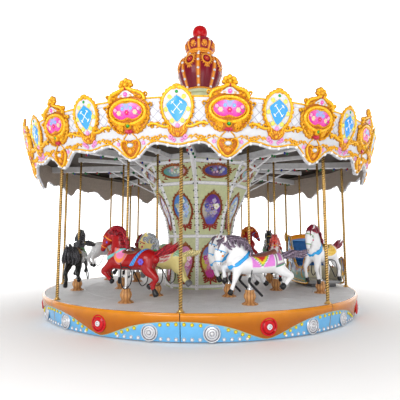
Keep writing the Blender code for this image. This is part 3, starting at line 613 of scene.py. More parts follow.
def swirls(stops, centres, scale, seed):
    """A generic painted ground: soft patches of the given colours round given centres, with rings in them."""
    stops = np.asarray(stops, float)
    centres = np.asarray(centres, float)

    def colour(u, v):
        gap = np.hypot(u[..., None] - centres[:, 0], v[..., None] - centres[:, 1]) / scale
        weight = np.exp(-(gap ** 2)) * (1.0 + .5 * np.sin(gap * 9.0 + seed + np.arange(len(centres))))
        weight = weight / np.maximum(weight.sum(-1, keepdims=True), 1e-6)
        return np.clip(weight @ stops, 0, 1)

    return colour


MAGENTA = (.62, .02, .3)
PINK = (.85, .38, .62)
SKY = (.2, .48, .85)
BEIGE = (.78, .6, .42)
VIOLET = (.12, .03, .28)
TEAL = (.05, .3, .25)


def framed(x, y, rx, ry, stops, seed, waist=0.0):
    """A picture panel: painted ground with a bouquet, a leafy carved band round it, a crest and a leaf cluster.
    The band pinches in below the middle by `waist` of its half width."""
    middle = np.array([x, y])
    a = np.arange(48) * 2 * np.pi / 48
    pinch = 1.0 - waist * np.clip((.15 - np.sin(a)) / 1.15, 0, 1) ** 1.3
    pinch = pinch - waist * .25 * np.exp(-((np.sin(a) + .5) / .18) ** 2)
    line = np.stack([x + rx * np.cos(a) * pinch, y + ry * np.sin(a)], -1)
    spots = [(x, y + ry * .55), (x - rx * .5, y), (x + rx * .5, y + ry * .1), (x, y - ry * .7), (x, y)]
    scale = min(rx, ry)
    stem = dict(high=(.1, .32, .12), low=(.04, .16, .06), rise=.003, mat=2)
    parts = [filled(middle + (line - middle) * .93, swirls(stops, spots, rx * .42, seed), 6, .004, .003, mat=2)]
    for k in range(12):
        turn, far = k * 2.399, np.sqrt((k + .5) / 12)
        u, v = x + rx * (.58 * far * np.cos(turn)), y + ry * (.1 + .5 * far * np.sin(turn))
        size = scale * (.27 + .08 * np.sin(k * 1.7))
        tint = np.array(stops[(k * 2) % len(stops)]) * .9 + .24 * (k % 3)
        parts += flower(u, v, size, tint, petals=5, mat=2, rise=.004, height=.007)
        parts.append(leaf(u, v, np.degrees(turn), size * 1.6, size * .22, .006, 50, **stem))
    parts += [leaf(x, y - ry * .25, heading, ry * .55, scale * .05, .006, 0, **stem) for heading in (-105, -90, -75)]
    parts.append(ribbon(line, .02, .018, BROWN, BROWN_SHADE, 5, True, vein=.5, mat=1))
    for k in range(0, 48, 2):
        if np.sin(a[k]) > -.8:
            side = 1 if np.cos(a[k]) > 0 else -1
            tint = (.5, .16, .05) if k % 4 else (.36, .05, .04)
            tint = (.46, .05, .035) if ry > .15 and np.sin(a[k]) < -.25 else tint
            size = .05 if np.sin(a[k]) > -.25 else .062
            parts.append(leaf(*line[k], np.degrees(a[k]) + side * 55, size, .014, .022, -side * 80, high=tint,
                low=BROWN_SHADE, mat=1))
            parts.append(bead(*(line[k] + (middle - line[k]) * .04), .008, .008, .024, (.75, .4, .12), BROWN,
                2, 5, mat=1))
    for heading in (90, 65, 115, 40, 140):
        size, bend = .075 - abs(heading - 90) * .0006, (90 - heading) * .7
        parts.append(leaf(x, y + ry * .98, heading, size, .014, .024, bend, high=(.55, .22, .06),
            low=BROWN_SHADE, mat=1))
    for row, count in ((.92, 7), (1.04, 5), (1.15, 3)) if ry > .15 else ():
        for t in np.linspace(-1, 1, count):
            foot = x + t * rx * .62 * (1.25 - row * .5), y - ry * row + .03
            parts.append(leaf(*foot, -90 + t * 55, .062, .017, .026, t * 40, high=(.5, .05, .035),
                low=(.2, .01, .01), mat=1))
    return parts


side_parts = []
rail_parts = []
heights = np.array([.3483, .8, 1.253, 1.43, 1.6, 1.77, 1.946, 2.06, 2.165, 2.35, 2.5285])
reach = core_apothem(heights) * np.tan(np.radians(22.5))
across = np.linspace(-1, 1, 5)
side_parts.append(on_side(grid(np.stack([across[:, None] * reach[None, :], heights[None, :] + 0 * across[:, None],
    0 * reach[None, :] - .004 + 0 * across[:, None]], -1), mat=0)))
PICTURES = [  # the grounds' colours at the foot, the middle and the top, for every other side
    ([(.1, .16, .5), (.6, .58, .05), (.78, .2, .55), MAGENTA, MAGENTA],
     [VIOLET, (.66, .62, .5), (.2, .06, .42), (.1, .1, .52), (.05, .03, .2)],
     [(.02, .02, .06), (.02, .05, .3), (.04, .1, .48), (.02, .02, .05), (.55, .2, .36)]),
    ([(.7, .25, .5), (.8, .45, .62), (.72, .2, .42), (.6, .4, .62), MAGENTA],
     [(.08, .26, .66), (.05, .18, .6), (.55, .64, .42), (.6, .66, .55), (.45, .56, .5)],
     [(.28, .45, .3), TEAL, (.62, .32, .38), (.1, .25, .52), (.45, .56, .42)]),
]
picture_parts = []
for k, (foot, mid, top) in enumerate(PICTURES):
    panels = (framed(0.0, .8, .168, .3, foot, .5 + k, .3) + framed(0.0, 1.7, .184, .285, mid, 2.0 + k, .32)
              + framed(0.0, 2.345, .232, .098, top, 3.5 + k))
    picture_parts += [moved(on_side(part), turns(22.5 + 45.0 * k + 90.0 * np.arange(4))) for part in panels]
for z in (.4, 1.253, 2.15, 2.49):
    half = core_apothem(z) * np.tan(np.radians(22.5))
    rail = ribbon([(t * half, z) for t in np.linspace(-1, 1, 13)], .03, .02, (.94, .94, .96), (.42, .42, .46), 6)
    rail_parts.append(on_side(rail))
    spots = np.linspace(-.92, .92, int(half * 2 / .06)) * half
    rail_parts += [on_side(bead(t, z, .013, .013, .028, (.96, .96, .98), (.25, .25, .28), rings=2, sides=6))
        for t in spots]
for x, z, heading in ((.3, 2.455, 150), (.34, 2.4, 200), (.3, 2.215, -150), (.25, 2.235, -190)):
    side_parts += [on_side(p) for p in both([leaf(x, z, heading, .09, .012, .01, 50, high=BROWN,
        low=BROWN_SHADE, mat=1)])]
sides = turns(22.5 + EIGHTHS)


def corner_rib():
    """A studded half round up one corner: radius follows the core's corner line."""
    z = np.concatenate([np.linspace(a, b, 5)[:-1] for a, b in zip(CORE_HEIGHT[:-1], CORE_HEIGHT[1:])]
        + [[CORE_HEIGHT[-1]]])
    radius = np.interp(z, CORE_HEIGHT, CORE_RADIUS)
    a = np.linspace(0, np.pi, 7)
    u = .03 * np.cos(a)[:, None] + 0 * z[None, :]
    out = radius[None, :] - .018 + .034 * np.sin(a)[:, None]
    return grid(np.stack([u, -out, z[None, :] + 0 * u], -1)[::-1], (.94, .94, .96))


def studs(low, high, gap, size, colour):
    """Domes up one corner of the core, at even gaps."""
    z = np.arange(low, high, gap)
    radius = np.interp(z, CORE_HEIGHT, CORE_RADIUS) + .014
    dome = lathe([(size, -.004), (size * .95, .006), (size * .6, .012), (0.0, .015)], 6, colour)
    return moved(dome, facing(0.0, z, radius))


rail_parts = [moved(part, sides) for part in rail_parts]
rail_parts.append(moved(corner_rib(), eight))
rail_parts.append(moved(studs(.42, 2.5, .045, .011, (.55, .55, .6)), eight))
bulbs_dark = moved(studs(1.33, 2.44, .115, .014, (.05, .07, .06)),
    np.concatenate([eight @ shift(.034 * side, .01, 0) for side in (1, -1)]))
rail_parts.append((bulbs_dark[0], bulbs_dark[1], bulbs_dark[2], 1))
make("core_housing", [moved(part, sides) for part in side_parts] + picture_parts,
    [core_paint, gold_leaf, picture_paint], ["core"])
make("core_mouldings", rail_parts, [trim_white, bulb_paint])

# Roof frame: steel sweeps and drive arms painted white, with struts from the core's flare to each sweep.
# Sockets with coloured bulbs hang in rows below the sweeps, and in a ring round the core's top.
frame_paint = finish("frame_paint", (.66, .66, .68), rough=.4, spread=.12, grain=18.0, bump=.1, dirt=.25)
strut_parts = []


def bar(start, end, half_width, half_depth, colour=(.8, .8, .82), steps=6):
    """A straight bar of rounded section between two points (x, y, z) that lie in a plane through Z."""
    start, end = np.array(start, float), np.array(end, float)
    along = (end - start) / np.linalg.norm(end - start)
    side = np.array([1.0, 0.0, 0.0])
    rise = np.cross(along, side)
    a = (np.arange(8) + .5) * np.pi / 4
    section = (side * (half_width * np.sign(np.cos(a)) * np.abs(np.cos(a)) ** .4)[:, None]
               + rise * (half_depth * np.sign(np.sin(a)) * np.abs(np.sin(a)) ** .4)[:, None])
    t = np.linspace(0, 1, steps)
    size = np.array([0.0] + [1.0] * (steps - 2) + [0.0])
    t[[1, -2]] = (.001, .999)
    points = start + (end - start) * t[None, :, None] + section[:, None, :] * size[None, :, None]
    return grid(points, colour, wrap_u=True)


strut_parts.append(bar((0, -.93, 2.24), (0, -1.42, 2.515), .02, .014))
strut_parts.append(bar((0, -.88, 2.08), (0, -1.75, 2.512), .015, .011))
strut_parts.append(bar((0, -1.16, 2.518), (0, -2.93, 2.518), .048, .01))
strut_parts = [moved(part, eight) for part in strut_parts]
make("roof_struts", strut_parts, [trim_white])
BULB_COLOURS = np.array([(.01, .16, .05), (.02, .04, .25), (.35, .01, .02), (.01, .16, .05)])
globe = lathe([(.01, .004), (.013, -.003), (.017, -.01), (.019, -.02), (.015, -.031), (.007, -.038), (0.0, -.04)][::-1],
    8)


def string_of_bulbs(places, start=0):
    """One bulb at each place, in four colours by turns."""
    parts = []
    places = np.asarray(places, float)
    for k in range(4):
        chosen = places[(np.arange(len(places)) + start) % 4 == k]
        points, faces, _, mat = moved(globe, [shift(*p) for p in chosen])
        parts.append((points, faces, np.broadcast_to(BULB_COLOURS[k], points.shape), mat))
    return parts


under = []
for k in range(8):
    radii = np.arange(1.3, 2.75, .24)
    for row in (-.9, .9):
        under.append(at(radii, 45.0 * k + row * 1.9 / radii, 2.508 + 0 * radii))
under.append(at(1.1, np.arange(0, 360, 11.25), 2.52))
make("ceiling_bulbs", string_of_bulbs(np.concatenate(under)), [bulb_paint])

# Roof cover: a cone of coated sheet over the frame, with a flat dark lining below it.
# The lining is boarding, screwed to the sweeps, and hides the gears from the riders.
cover_paint = finish("cover_paint", (.72, .68, .58), rough=.6, spread=.12, grain=12.0, bump=.15, dirt=.3)
tree = cover_paint.node_tree
split = node(tree, "SeparateXYZ", Vector=node(tree, "TexCoord")["Object"])


def maths(operation, *values):
    """The output of a math node in the cover's tree, on numbers or sockets."""
    made = tree.nodes.new("ShaderNodeMath")
    made.operation = operation
    for socket, value in zip(made.inputs, values):
        if isinstance(value, (int, float)):
            socket.default_value = value
        else:
            tree.links.new(value, socket)
    return made.outputs[0]


radius = maths("SQRT", maths("ADD", maths("MULTIPLY", split["X"], split["X"]),
    maths("MULTIPLY", split["Y"], split["Y"])))
inner_side = maths("LESS_THAN", split["Z"], maths("SUBTRACT", 3.715, maths("MULTIPLY", .36, radius)))
planks = maths("MULTIPLY", maths("FRACT", maths("MULTIPLY", radius, 6.5)), .5)
DARK_BOARD, LIGHT_BOARD = (.085, .07, .058, 1.0), (.125, .105, .09, 1.0)
lining = node(tree, "Mix", data_type="RGBA", Factor=planks, A=DARK_BOARD, B=LIGHT_BOARD)["Result"]
shader = tree.nodes["Principled BSDF"]
outside = shader.inputs["Base Color"].links[0].from_socket
feed(tree, shader, Base_Color=node(tree, "Mix", data_type="RGBA", Factor=inner_side, A=outside, B=lining)["Result"])
lining_paint = finish("lining_paint", (.56, .475, .41), rough=.75, spread=.25, grain=30.0, bump=.25, dirt=.2,
    stretch=(1, 1, 4))
base_steel = finish("base_steel", (.06, .062, .066), rough=.45, spread=.25, grain=26.0, bump=.2, dirt=.45)
batten = bar((0, -2.93, 2.685), (0, -.44, 3.576), .016, .01, (.62, .58, .48))
make("roof_battens", [moved(batten, turns(22.5 * np.arange(16)))], [cover_paint])
frame_coats = {"roof_frame": frame_paint, "roof_cover": cover_paint, "ground_frame": base_steel}
for solid, material in frame_coats.items():
    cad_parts[solid].data.materials.clear()
    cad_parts[solid].data.materials.append(material)

# Rounding boards: moulded glass-fibre lengths which lean outward, gel-coated white and hand gilded.
# Leafy cartouches and pointed shields alternate on them; below hangs a scalloped valance with bulbs.
board_paint = finish("board_paint", None, rough=.34, spread=.06, grain=16.0, bump=.06, coat=.15, dirt=.1)
jewel_paint = finish("jewel_paint", None, rough=.18, spread=.12, grain=60.0, bump=.03, coat=.3)
SILVER = (.58, .59, .63)
WHITE = (.59, .6, .63)
REACH = 3.0866
ARC_RADIUS = 3.0  # u on the boards is an arc's length at this radius


def board_radius(z):
    """The boards' face at this height: it leans outward, then stands upright over 2.90 m."""
    return 2.862 + .267 * (np.minimum(z, 2.9) - 2.117)


def edge_low(angle):
    """The valance's lower edge: a deep round drop under each cartouche and a shallow one under each shield."""
    off = np.abs(np.mod(angle, 22.5) - 11.25)
    drop = 2.117 + .178 * (1 - np.cos(np.pi * np.minimum(off, 5.9) / 5.9)) / 2
    return drop - .043 * np.sin(np.pi / 2 * np.clip((off - 5.9) / 5.35, 0, 1)) ** 2


def edge_high(angle):
    """The boards' upper edge: it rises to a crest at each cartouche and each shield."""
    off = np.abs(np.mod(angle, 22.5) - 11.25)
    near = 11.25 - off
    high = np.maximum(2.806, 2.925 - .1 * (off / 3.6) ** 1.7)
    return np.maximum(high, 2.915 - .1 * (near / 2.6) ** 1.7)


def inside(part):
    """Keeps a part within the widest reach of the boards along X and Y."""
    def nearer(x, y, z):
        shrink = np.minimum(1.0, REACH / np.maximum(np.maximum(np.abs(x), np.abs(y)), 1e-6))
        return np.stack([x * shrink, y * shrink, z], -1)
    return laid(part, nearer)


def on_board(part, middle):
    """Lays a (u, v, h) part on the boards round this angle; v is the height above the ground."""
    return laid(part, lambda u, v, h: at(board_radius(v) + h, middle + np.degrees(u / ARC_RADIUS), v))


def gilded(parts):
    """The parts with gold leaf, the second finish, on what has no finish of its own."""
    return [(*part[:3], part[3] or 1) for part in parts]


def all_round(parts, middle):
    """Sixteen copies of each part on the boards, the first round this angle."""
    around = turns(22.5 * np.arange(16))
    return [inside(moved(on_board(part, middle), around)) for part in parts]


angle = np.linspace(0, 360, 513)[:-1]
low, high = edge_low(angle)[:, None], edge_high(angle)[:, None]
near_edge = low + np.array([0.0, .006, .018, .026, .06])[None, :]
lower = near_edge[:, -1:] + (2.4 - near_edge[:, -1:]) * np.array([.25, .5, .75, 1.0])[None, :]
middle_rows = np.array([2.5, 2.535, 2.545, 2.735, 2.745, 2.79])[None, :] + 0 * low
upper = 2.79 + (high - 2.79) * np.array([.35, .7, .93, 1.0])[None, :]
z = np.concatenate([near_edge, lower, middle_rows, upper], 1)
stand = np.zeros(z.shape)
stand[:, 1:3] = .012
stand[:, 11:13] = -.006
stand[:, -1] = -.008
outer = at(board_radius(z) + stand, angle[:, None], z)
paint = np.broadcast_to(WHITE, outer.shape).copy()
paint[:, :4] = SILVER
paint[:, 11:13] = (.66, .67, .72)
paint[:, 13:14] = (.78, .78, .78)
inner_z = high - .004 + (low - high + .008) * np.linspace(0, 1, 7)[None, :]
inner = at(board_radius(inner_z) - .028, angle[:, None], inner_z)
face_out = grid(outer, paint, wrap_u=True, mat=0)
rim_top = grid(np.stack([outer[:, -1], inner[:, 0]], 1), (.8, .45, .08), wrap_u=True, mat=1)
rim_low = grid(np.stack([inner[:, -1], outer[:, 0]], 1), SILVER, wrap_u=True, mat=0)
face_in = grid(inner, (.2, .2, .2), wrap_u=True, mat=2)
board_parts = [inside(part) for part in (face_out, rim_top, rim_low, face_in)]


def running(height, width, thick, high_colour=GOLD, low_colour=GOLD_SHADE, count=512, across=5, mat=1):
    """A moulding right round the boards, at a height that is a function of the angle."""
    a = np.arange(count) * 360.0 / count
    u = np.radians(a) * ARC_RADIUS
    part = ribbon(np.stack([u, height(a)], -1), width, thick, high_colour, low_colour, across, False, mat=mat)
    points, faces, colour, mat = part
    points = at(board_radius(points[:, 1]) + points[:, 2], np.degrees(points[:, 0] / ARC_RADIUS),
        points[:, 1]).reshape(count, across, 3)
    return inside(grid(points, colour.reshape(count, across, 3), wrap_u=True, mat=mat))


board_parts.append(running(lambda a: edge_low(a) + .036, .011, .012))
board_parts.append(running(lambda a: edge_high(a) - .004, .011, .009))
# These mouldings and the lattice strips are darker at their edges than on their ridges: painted shade.
board_parts.append(running(lambda a: 2.755 + 0 * a, .007, .008, (.62, .62, .68), (.4, .4, .46), 256, 4))
board_parts.append(running(lambda a: 2.528 + 0 * a, .007, .008, (.62, .62, .68), (.4, .4, .46), 256, 4))
GREY, GREY_SHADE = (.4, .4, .46), (.26, .26, .32)
for lean in (-1, 1):
    for start in np.arange(-.58, .59, .118):
        lattice = ribbon([(start, 2.54), (start + lean * .05, 2.59), (start + lean * .118, 2.655),
            (start + lean * .17, 2.7), (start + lean * .205, 2.745)], .0045, .004, GREY, GREY_SHADE, 4, rise=-.006)
        board_parts += all_round([lattice], 11.25)
lamp = ringed([(.022, -.006), (.024, .002), (.02, .008), (.016, .008), (.0155, .018), (.01, .026), (0.0, .029)], 9,
    [(.42, .43, .47)] * 3 + [(.86, .86, .84)] * 4)
spots = np.arange(0, 360, 360 / 152)
valance_bulbs = moved(lamp, facing(spots, edge_low(spots) + .012, board_radius(edge_low(spots)) + .006))
make("rounding_boards", board_parts, [board_paint, gold_leaf, lining_paint],
    [f"rounding_board_{k}" for k in range(1, 9)])
make("valance_bulbs", [inside(valance_bulbs)], [bulb_paint])

# Cartouches: sixteen gilt castings of leaves and volutes round a painted oval, with a leafy crest.
# They're bolted on over the boards' joints; the ovals hold plain flower work on a pink ground.
GREEN = (.01, .16, .02)
WINE = (.28, .01, .03)
# The plates behind the gilt relief are a darker gold: painted shade between the leaves.
GOLD_PLATE_SHADE = (.46, .13, .003)


def closed(half, count):
    """A smooth closed outline from the right half's points, top to bottom, mirrored across u = 0."""
    right = flow(half, count)
    return np.concatenate([right[:-1], (right * (-1, 1))[::-1][:-1]])[::-1]


def leaves_along(path, size, lean, count, height, bend, first=0.0, **more):
    """Leaves laid like scales along a path: each points along it, leaning out by `lean` degrees."""
    line = flow(path, 200)
    reach = np.concatenate([[0], np.cumsum(np.hypot(*np.diff(line, axis=0).T))])
    parts = []
    for s in np.linspace(first, .97, count) * reach[-1]:
        k = min(np.searchsorted(reach, s), 198)
        step = line[k + 1] - line[k]
        parts.append(leaf(*line[k], np.degrees(np.arctan2(step[1], step[0])) + lean, size, size * .26, height, bend,
            .5, **more))
    return parts


a = np.arange(44) * 2 * np.pi / 44
dip = .024 * np.exp(-(np.cos(a) / .3) ** 2) * (np.sin(a) < 0)
peak = .014 * np.exp(-(np.cos(a) / .18) ** 2) * (np.sin(a) > 0)
window = np.stack([.18 * np.cos(a), 2.668 + .097 * np.sin(a) + dip - peak], -1)
spots = [(-.14, 2.67), (.14, 2.67), (0.0, 2.73), (0.0, 2.61), (-.07, 2.7), (.07, 2.7)]
ground = swirls([MAGENTA, MAGENTA, SKY, (.7, .04, .36), (.8, .12, .42), (.8, .12, .42)], spots, .05, 1.0)
cartouche = [filled(closed([(0, 2.832), (.06, 2.845), (.13, 2.838), (.2, 2.8), (.248, 2.745), (.264, 2.68), (.256, 2.6),
    (.232, 2.54), (.19, 2.475), (.13, 2.43), (.06, 2.424), (0, 2.44)], 26), GOLD_PLATE_SHADE, 5, .014, .004)]
cartouche.append(filled(window, ground, 7, .008, .026, mat=2))
for u, v, size, tint in ((-.145, 2.69, .024, PINK), (-.1, 2.655, .032, BEIGE), (-.052, 2.7, .025, SKY),
        (0.0, 2.655, .034, (.7, .02, .16)), (.052, 2.7, .025, SKY), (.1, 2.655, .032, BEIGE), (.145, 2.69, .024, PINK)):
    cartouche += flower(u, v, size, tint, petals=6, height=.008, rise=.032, mat=2)
    cartouche.append(leaf(u + size * .5, v - size * .7, -30, size, .007, .006, 40, high=(.1, .35, .1),
        low=(.05, .2, .05), rise=.03, mat=2))
cartouche.append(ribbon(window + .008 * np.stack([np.cos(a), np.sin(a)], -1), .009, .044, GOLD, GOLD_SHADE, 5, True))
cartouche.append(ribbon(oval(0, 2.662, .219, .134, 44), .025, .036, GOLD, GOLD_SHADE, 6, True))
outer_line = [(.03, 2.83), (.12, 2.826), (.195, 2.788), (.24, 2.735), (.254, 2.675), (.246, 2.6), (.22, 2.54),
    (.17, 2.48), (.11, 2.448)]
cartouche += both(leaves_along(outer_line, .064, 28, 12, .046, -55))
ring_line = [(.02, 2.795), (.1, 2.785), (.165, 2.755), (.208, 2.705), (.214, 2.65), (.19, 2.595)]
cartouche += both(leaves_along(ring_line, .046, -24, 9, .05, 45))
cartouche += both(leaves_along([(.05, 2.548), (.11, 2.538), (.165, 2.56), (.205, 2.605)], .062, -52, 7, .048, 40))
for heading, size in ((-5, .085), (-32, .092), (-60, .088), (-90, .08), (35, .07)):
    cartouche += both([leaf(.078, 2.52, heading, size, size * .24, .046, 25)])
cartouche.append(ribbon(oval(0, 2.508, .033, .033, 20), .009, .056, GOLD, GOLD_SHADE, 5, True))
cartouche.append(bead(0, 2.508, .026, .026, .056, (.05, .42, .08), GREEN, mat=2))
cartouche += both([leaf(.012, 2.575, 60, .06, .014, .05, -60), leaf(.008, 2.58, 110, .05, .012, .05, 80)])
for heading in (-90, -60, -120, -35, -145):
    cartouche.append(leaf(.012 * np.cos(np.radians(heading)), 2.468, heading, .055, .012, .048, 0, .3,
        high=(.55, .03, .07), low=WINE, mat=2))
cartouche.append(filled(closed([(0, 2.95), (.03, 2.945), (.06, 2.925), (.1, 2.905), (.15, 2.882), (.192, 2.855),
    (.218, 2.82), (.22, 2.785), (.12, 2.8), (0, 2.81)], 20), GOLD_PLATE_SHADE, 5, .01, .003))
cartouche.append(filled(closed([(0, 2.898), (.03, 2.892), (.062, 2.868), (.108, 2.832), (0, 2.826)], 12), WHITE, 4,
    .004, .02, mat=2))
cartouche += flower(0, 2.855, .03, (.8, .14, .52), (.9, .6, .8), rise=.024, height=.012, mat=2)
arch = [(.222, 2.785), (.208, 2.83), (.17, 2.864), (.118, 2.884), (.072, 2.9), (.036, 2.922), (.01, 2.926)]
cartouche += both([ribbon(flow(arch, 20), .023, .036, across=6)])
cartouche += both(leaves_along(arch, .056, -38, 9, .042, 60))
cartouche += both(leaves_along([(.165, 2.822), (.115, 2.852), (.075, 2.885), (.04, 2.915)], .036, 25, 5, .038, -40))
cartouche += both(scroll(.212, 2.835, 95, -260, .095, .011, .032, 9, 1.3))
cartouche += both(scroll(.262, 2.73, 70, -250, .085, .01, .032, 9, 1.3))
for u, v, rx, ry, high in ((0.0, 2.968, .034, .03, .042), (.066, 2.962, .03, .027, .034),
        (0.0, 3.022, .034, .034, .036), (.046, 3.0, .034, .032, .034)):
    petal = bead(u, v, rx, ry, high, GOLD, GOLD_SHADE, 4, 10)
    cartouche += [petal] if u == 0.0 else both([petal])
cartouche.append(leaf(0.0, 2.985, 90, .064, .013, .052, 0))
cartouche += both([leaf(.012, 2.978, 52, .066, .014, .05, 20), leaf(.02, 2.962, 12, .07, .014, .048, 40)])
cartouche += both(scroll(.03, 2.925, -10, 250, .075, .01, .04, 8, 1.2))
for heading in (-90, -55, -125):
    cartouche.append(leaf(0, 2.94, heading, .042, .013, .046, 0, .2, high=(.45, .02, .03), low=WINE, mat=2))
jewelled = [board_paint, gold_leaf, jewel_paint]
make("cartouches", all_round(gilded(cartouche), 11.25), jewelled)

# Shields: pointed gilt frames round a white field, with a blue lozenge, yellow glass beads and a flower.
# Below each cartouche hangs a drop of the valance, with a gilt heart, a silvered oval and flowers.
YELLOW_GREEN = (.62, .62, .06)
LILAC = (.8, .3, .62)
edge_line = [(0, 2.928), (.044, 2.902), (.1, 2.866), (.148, 2.806), (.17, 2.735), (.171, 2.67), (.154, 2.6),
    (.124, 2.545), (.086, 2.5), (.07, 2.462), (.07, 2.43)]
field = closed([(0, 2.912), (.04, 2.89), (.09, 2.855), (.136, 2.8), (.157, 2.735), (.158, 2.67), (.142, 2.603),
    (.112, 2.55), (.074, 2.5), (.05, 2.455), (0, 2.43)], 22)
shield = [filled(field, (.62, .63, .67), 5, .008, .012, mat=2)]
line = flow(edge_line, 34)
thick = .019 + .009 * np.clip((line[:, 1] - 2.6) / .25, 0, 1)
shield += both([ribbon(line[::-1], thick[::-1] * .72, .034, across=6)])
shield += both(leaves_along(edge_line, .06, 52, 13, .044, -85))
lozenge = flow([(0, 2.819), (.06, 2.775), (.115, 2.728), (.118, 2.688), (.08, 2.612), (.032, 2.546), (0, 2.52)], 14)
lozenge = np.concatenate([lozenge, (lozenge * (-1, 1))[::-1][1:-1]])
shield.append(filled(lozenge, (.045, .33, .84), 6, .006, .022, mat=2))
shield.append(ribbon(lozenge[::-1], .0055, .03, (.85, .62, .15), GOLD_SHADE, 4, True))
PALE_LINE = dict(high=(.9, .9, .92), low=(.6, .7, .85), across=4, rise=.026, mat=2)
for heading, x in ((48, -.055), (132, .055)):
    shield.append(ribbon(scroll_path(x, 2.62, heading, 0, .165, 6), .0045, .008, **PALE_LINE))
    for d in (.012, .153):
        u, v = x + np.cos(np.radians(heading)) * d, 2.62 + np.sin(np.radians(heading)) * d
        shield.append(ribbon([(u - .016 * np.sign(-x), v + .016), (u, v), (u + .016 * np.sign(-x), v - .016)], .005,
            .008, **PALE_LINE))
shield.append(bead(0, 2.926, .026, .024, .056, GOLD, GOLD_SHADE))
shield.append(bead(0, 2.853, .022, .022, .034, (.02, .35, .05), GREEN, mat=2))
for u, v in ((.08, 2.797), (.126, 2.662), (.06, 2.538)):
    shield += both([bead(u, v, .024, .024, .022, (.82, .82, .15), YELLOW_GREEN, rise=.014, mat=2, sides=14),
        ribbon(oval(u, v, .024, .024, 14), .004, .02, (.75, .72, .25), (.4, .38, .1), 4, True, rise=.01, mat=2)])
shield += flower(0, 2.488, .03, LILAC, (.9, .75, .85), rise=.02, mat=2)
for heading, length in ((90, .05), (55, .06), (125, .06), (20, .062), (160, .062), (-15, .055), (195, .055)):
    shield.append(leaf(0, 2.9, heading, length, .015, .04,
        0 if heading == 90 else (30 if heading > 90 else -30), rise=.01))
shield.append(filled(closed([(0, 2.462), (.04, 2.462), (.078, 2.505), (.108, 2.5), (.116, 2.455), (.098, 2.405),
    (.055, 2.37), (0, 2.36)], 16), GOLD_PLATE_SHADE, 5, .01, .016))
shield += both([leaf(.004, 2.372, 22, .15, .024, .042, 78), leaf(.002, 2.392, 38, .115, .02, .044, 72),
    leaf(0.0, 2.405, 60, .075, .017, .046, 50), leaf(.095, 2.44, 60, .07, .016, .042, 60)])
shield.append(leaf(0, 2.432, -90, .074, .022, .048, 0))
shield += both(scroll(.1, 2.51, -10, 250, .085, .011, .034, 9, 1.3))
shield += both(scroll(.166, 2.765, -10, 220, .06, .008, .026, 8, 1.2))
for u, v, size in ((.088, 2.366, .034), (.048, 2.334, .028)):
    shield += both(flower(u, v, size, LILAC, (.15, .05, .08), petals=4, rise=.006, height=.018, mat=2))
heart = closed([(0, 2.348), (.05, 2.356), (.098, 2.35), (.122, 2.318), (.114, 2.262), (.078, 2.205), (.038, 2.162),
    (0, 2.146)], 20)
drop = [filled(heart, GOLD_PLATE_SHADE, 5, .01, .012)]
drop += both([ribbon(flow([(0, 2.15), (.04, 2.166), (.08, 2.208), (.113, 2.262), (.119, 2.312), (.098, 2.345),
    (.062, 2.346)], 20), .013, .036, across=6)])
drop += both(scroll(.075, 2.345, 170, 260, .11, .011, .038, 11, 1.3))
for heading, size in ((-90, .115), (-66, .108), (-114, .108), (-42, .092), (-138, .092), (-15, .08), (-165, .08)):
    drop.append(leaf(0, 2.278, heading, size, .019, .036, 0))
drop += both(leaves_along([(.105, 2.325), (.112, 2.27), (.078, 2.212), (.036, 2.168)], .044, 18, 6, .04, -40))
drop.append(bead(0, 2.292, .046, .029, .038, (.72, .74, .8), (.35, .36, .42), rise=.014, mat=2, sides=18))
drop.append(ribbon(oval(0, 2.292, .05, .033, 24), .008, .044, across=5, wrap=True))
drop += flower(0, 2.222, .03, (.9, .36, .02), (.95, .6, .1), rise=.034, height=.012, mat=2)
drop += both(flower(.165, 2.318, .027, LILAC, (.9, .7, .85), rise=.004, mat=2))
drop += both([ribbon(flow([(.088, 2.345), (.082, 2.378), (.055, 2.405), (.03, 2.428)], 10), .008, .018, across=5)])
drop += both([ribbon(flow([(.1, 2.356), (.17, 2.378), (.25, 2.346), (.33, 2.356), (.41, 2.376), (.49, 2.354)], 30),
    .007, .014, across=4)])
for u, v, heading, turn in ((.14, 2.366, 75, -250), (.2, 2.372, 60, -260), (.27, 2.349, 80, -260),
        (.34, 2.359, 100, 250), (.4, 2.374, 100, 260), (.46, 2.366, 110, 250), (.24, 2.349, -60, 240),
        (.37, 2.366, -110, -240)):
    drop += both(scroll(u, v, heading, turn, .085, .009, .02, 8, 1.3))
drop += both([ribbon(flow([(.235, 2.505), (.29, 2.52), (.345, 2.512), (.4, 2.488), (.45, 2.478), (.49, 2.488)], 20),
    .017, .032, across=6)])
drop += both(scroll(.29, 2.518, -40, -250, .085, .011, .032, 8, 1.3))
drop += both(scroll(.43, 2.484, 150, -250, .085, .011, .032, 8, 1.3))
drop += both([leaf(.33, 2.518, 25, .065, .014, .034, -40), leaf(.385, 2.5, 195, .06, .013, .034, 40),
    leaf(.26, 2.515, 60, .05, .012, .034, -50)])
room = [np.clip((REACH - .0005 - board_radius(p[0][:, 1])) / .06, .15, 1.0) for p in shield]
shield = [(p[0] * np.stack([0 * k + 1, 0 * k + 1, k], -1), *p[1:]) for p, k in zip(shield, room)]
make("shields", all_round(gilded(shield), 0.0), jewelled)
make("valance_drops", all_round(gilded(drop), 11.25), jewelled)

# Crown: a turned cream collar carries two fluted bulbs in dark red lacquer and a red ball.
# Eight gilt ribs with silvered pearls run up each bulb, and gilt leaves hang from the waist.
crown_paint = finish("crown_paint", None, rough=.22, spread=.08, grain=7.0, bump=.04, coat=.06)
COLLAR = [(.3, 3.5806), (.3, 3.68), (.268, 3.74), (.268, 3.94), (.318, 3.975), (.322, 4.02), (.3, 4.04)]
LOWER_BULB = [(.3, 4.04), (.362, 4.19), (.42, 4.35), (.442, 4.5), (.408, 4.64), (.315, 4.74), (.205, 4.8)]
UPPER_BULB = [(.205, 4.8), (.268, 4.88), (.302, 4.985), (.27, 5.085), (.165, 5.15), (.07, 5.175)]
BALL = [(.07, 5.16), (.118, 5.205), (.148, 5.29), (.124, 5.375), (.062, 5.424), (0.0, 5.4299)]


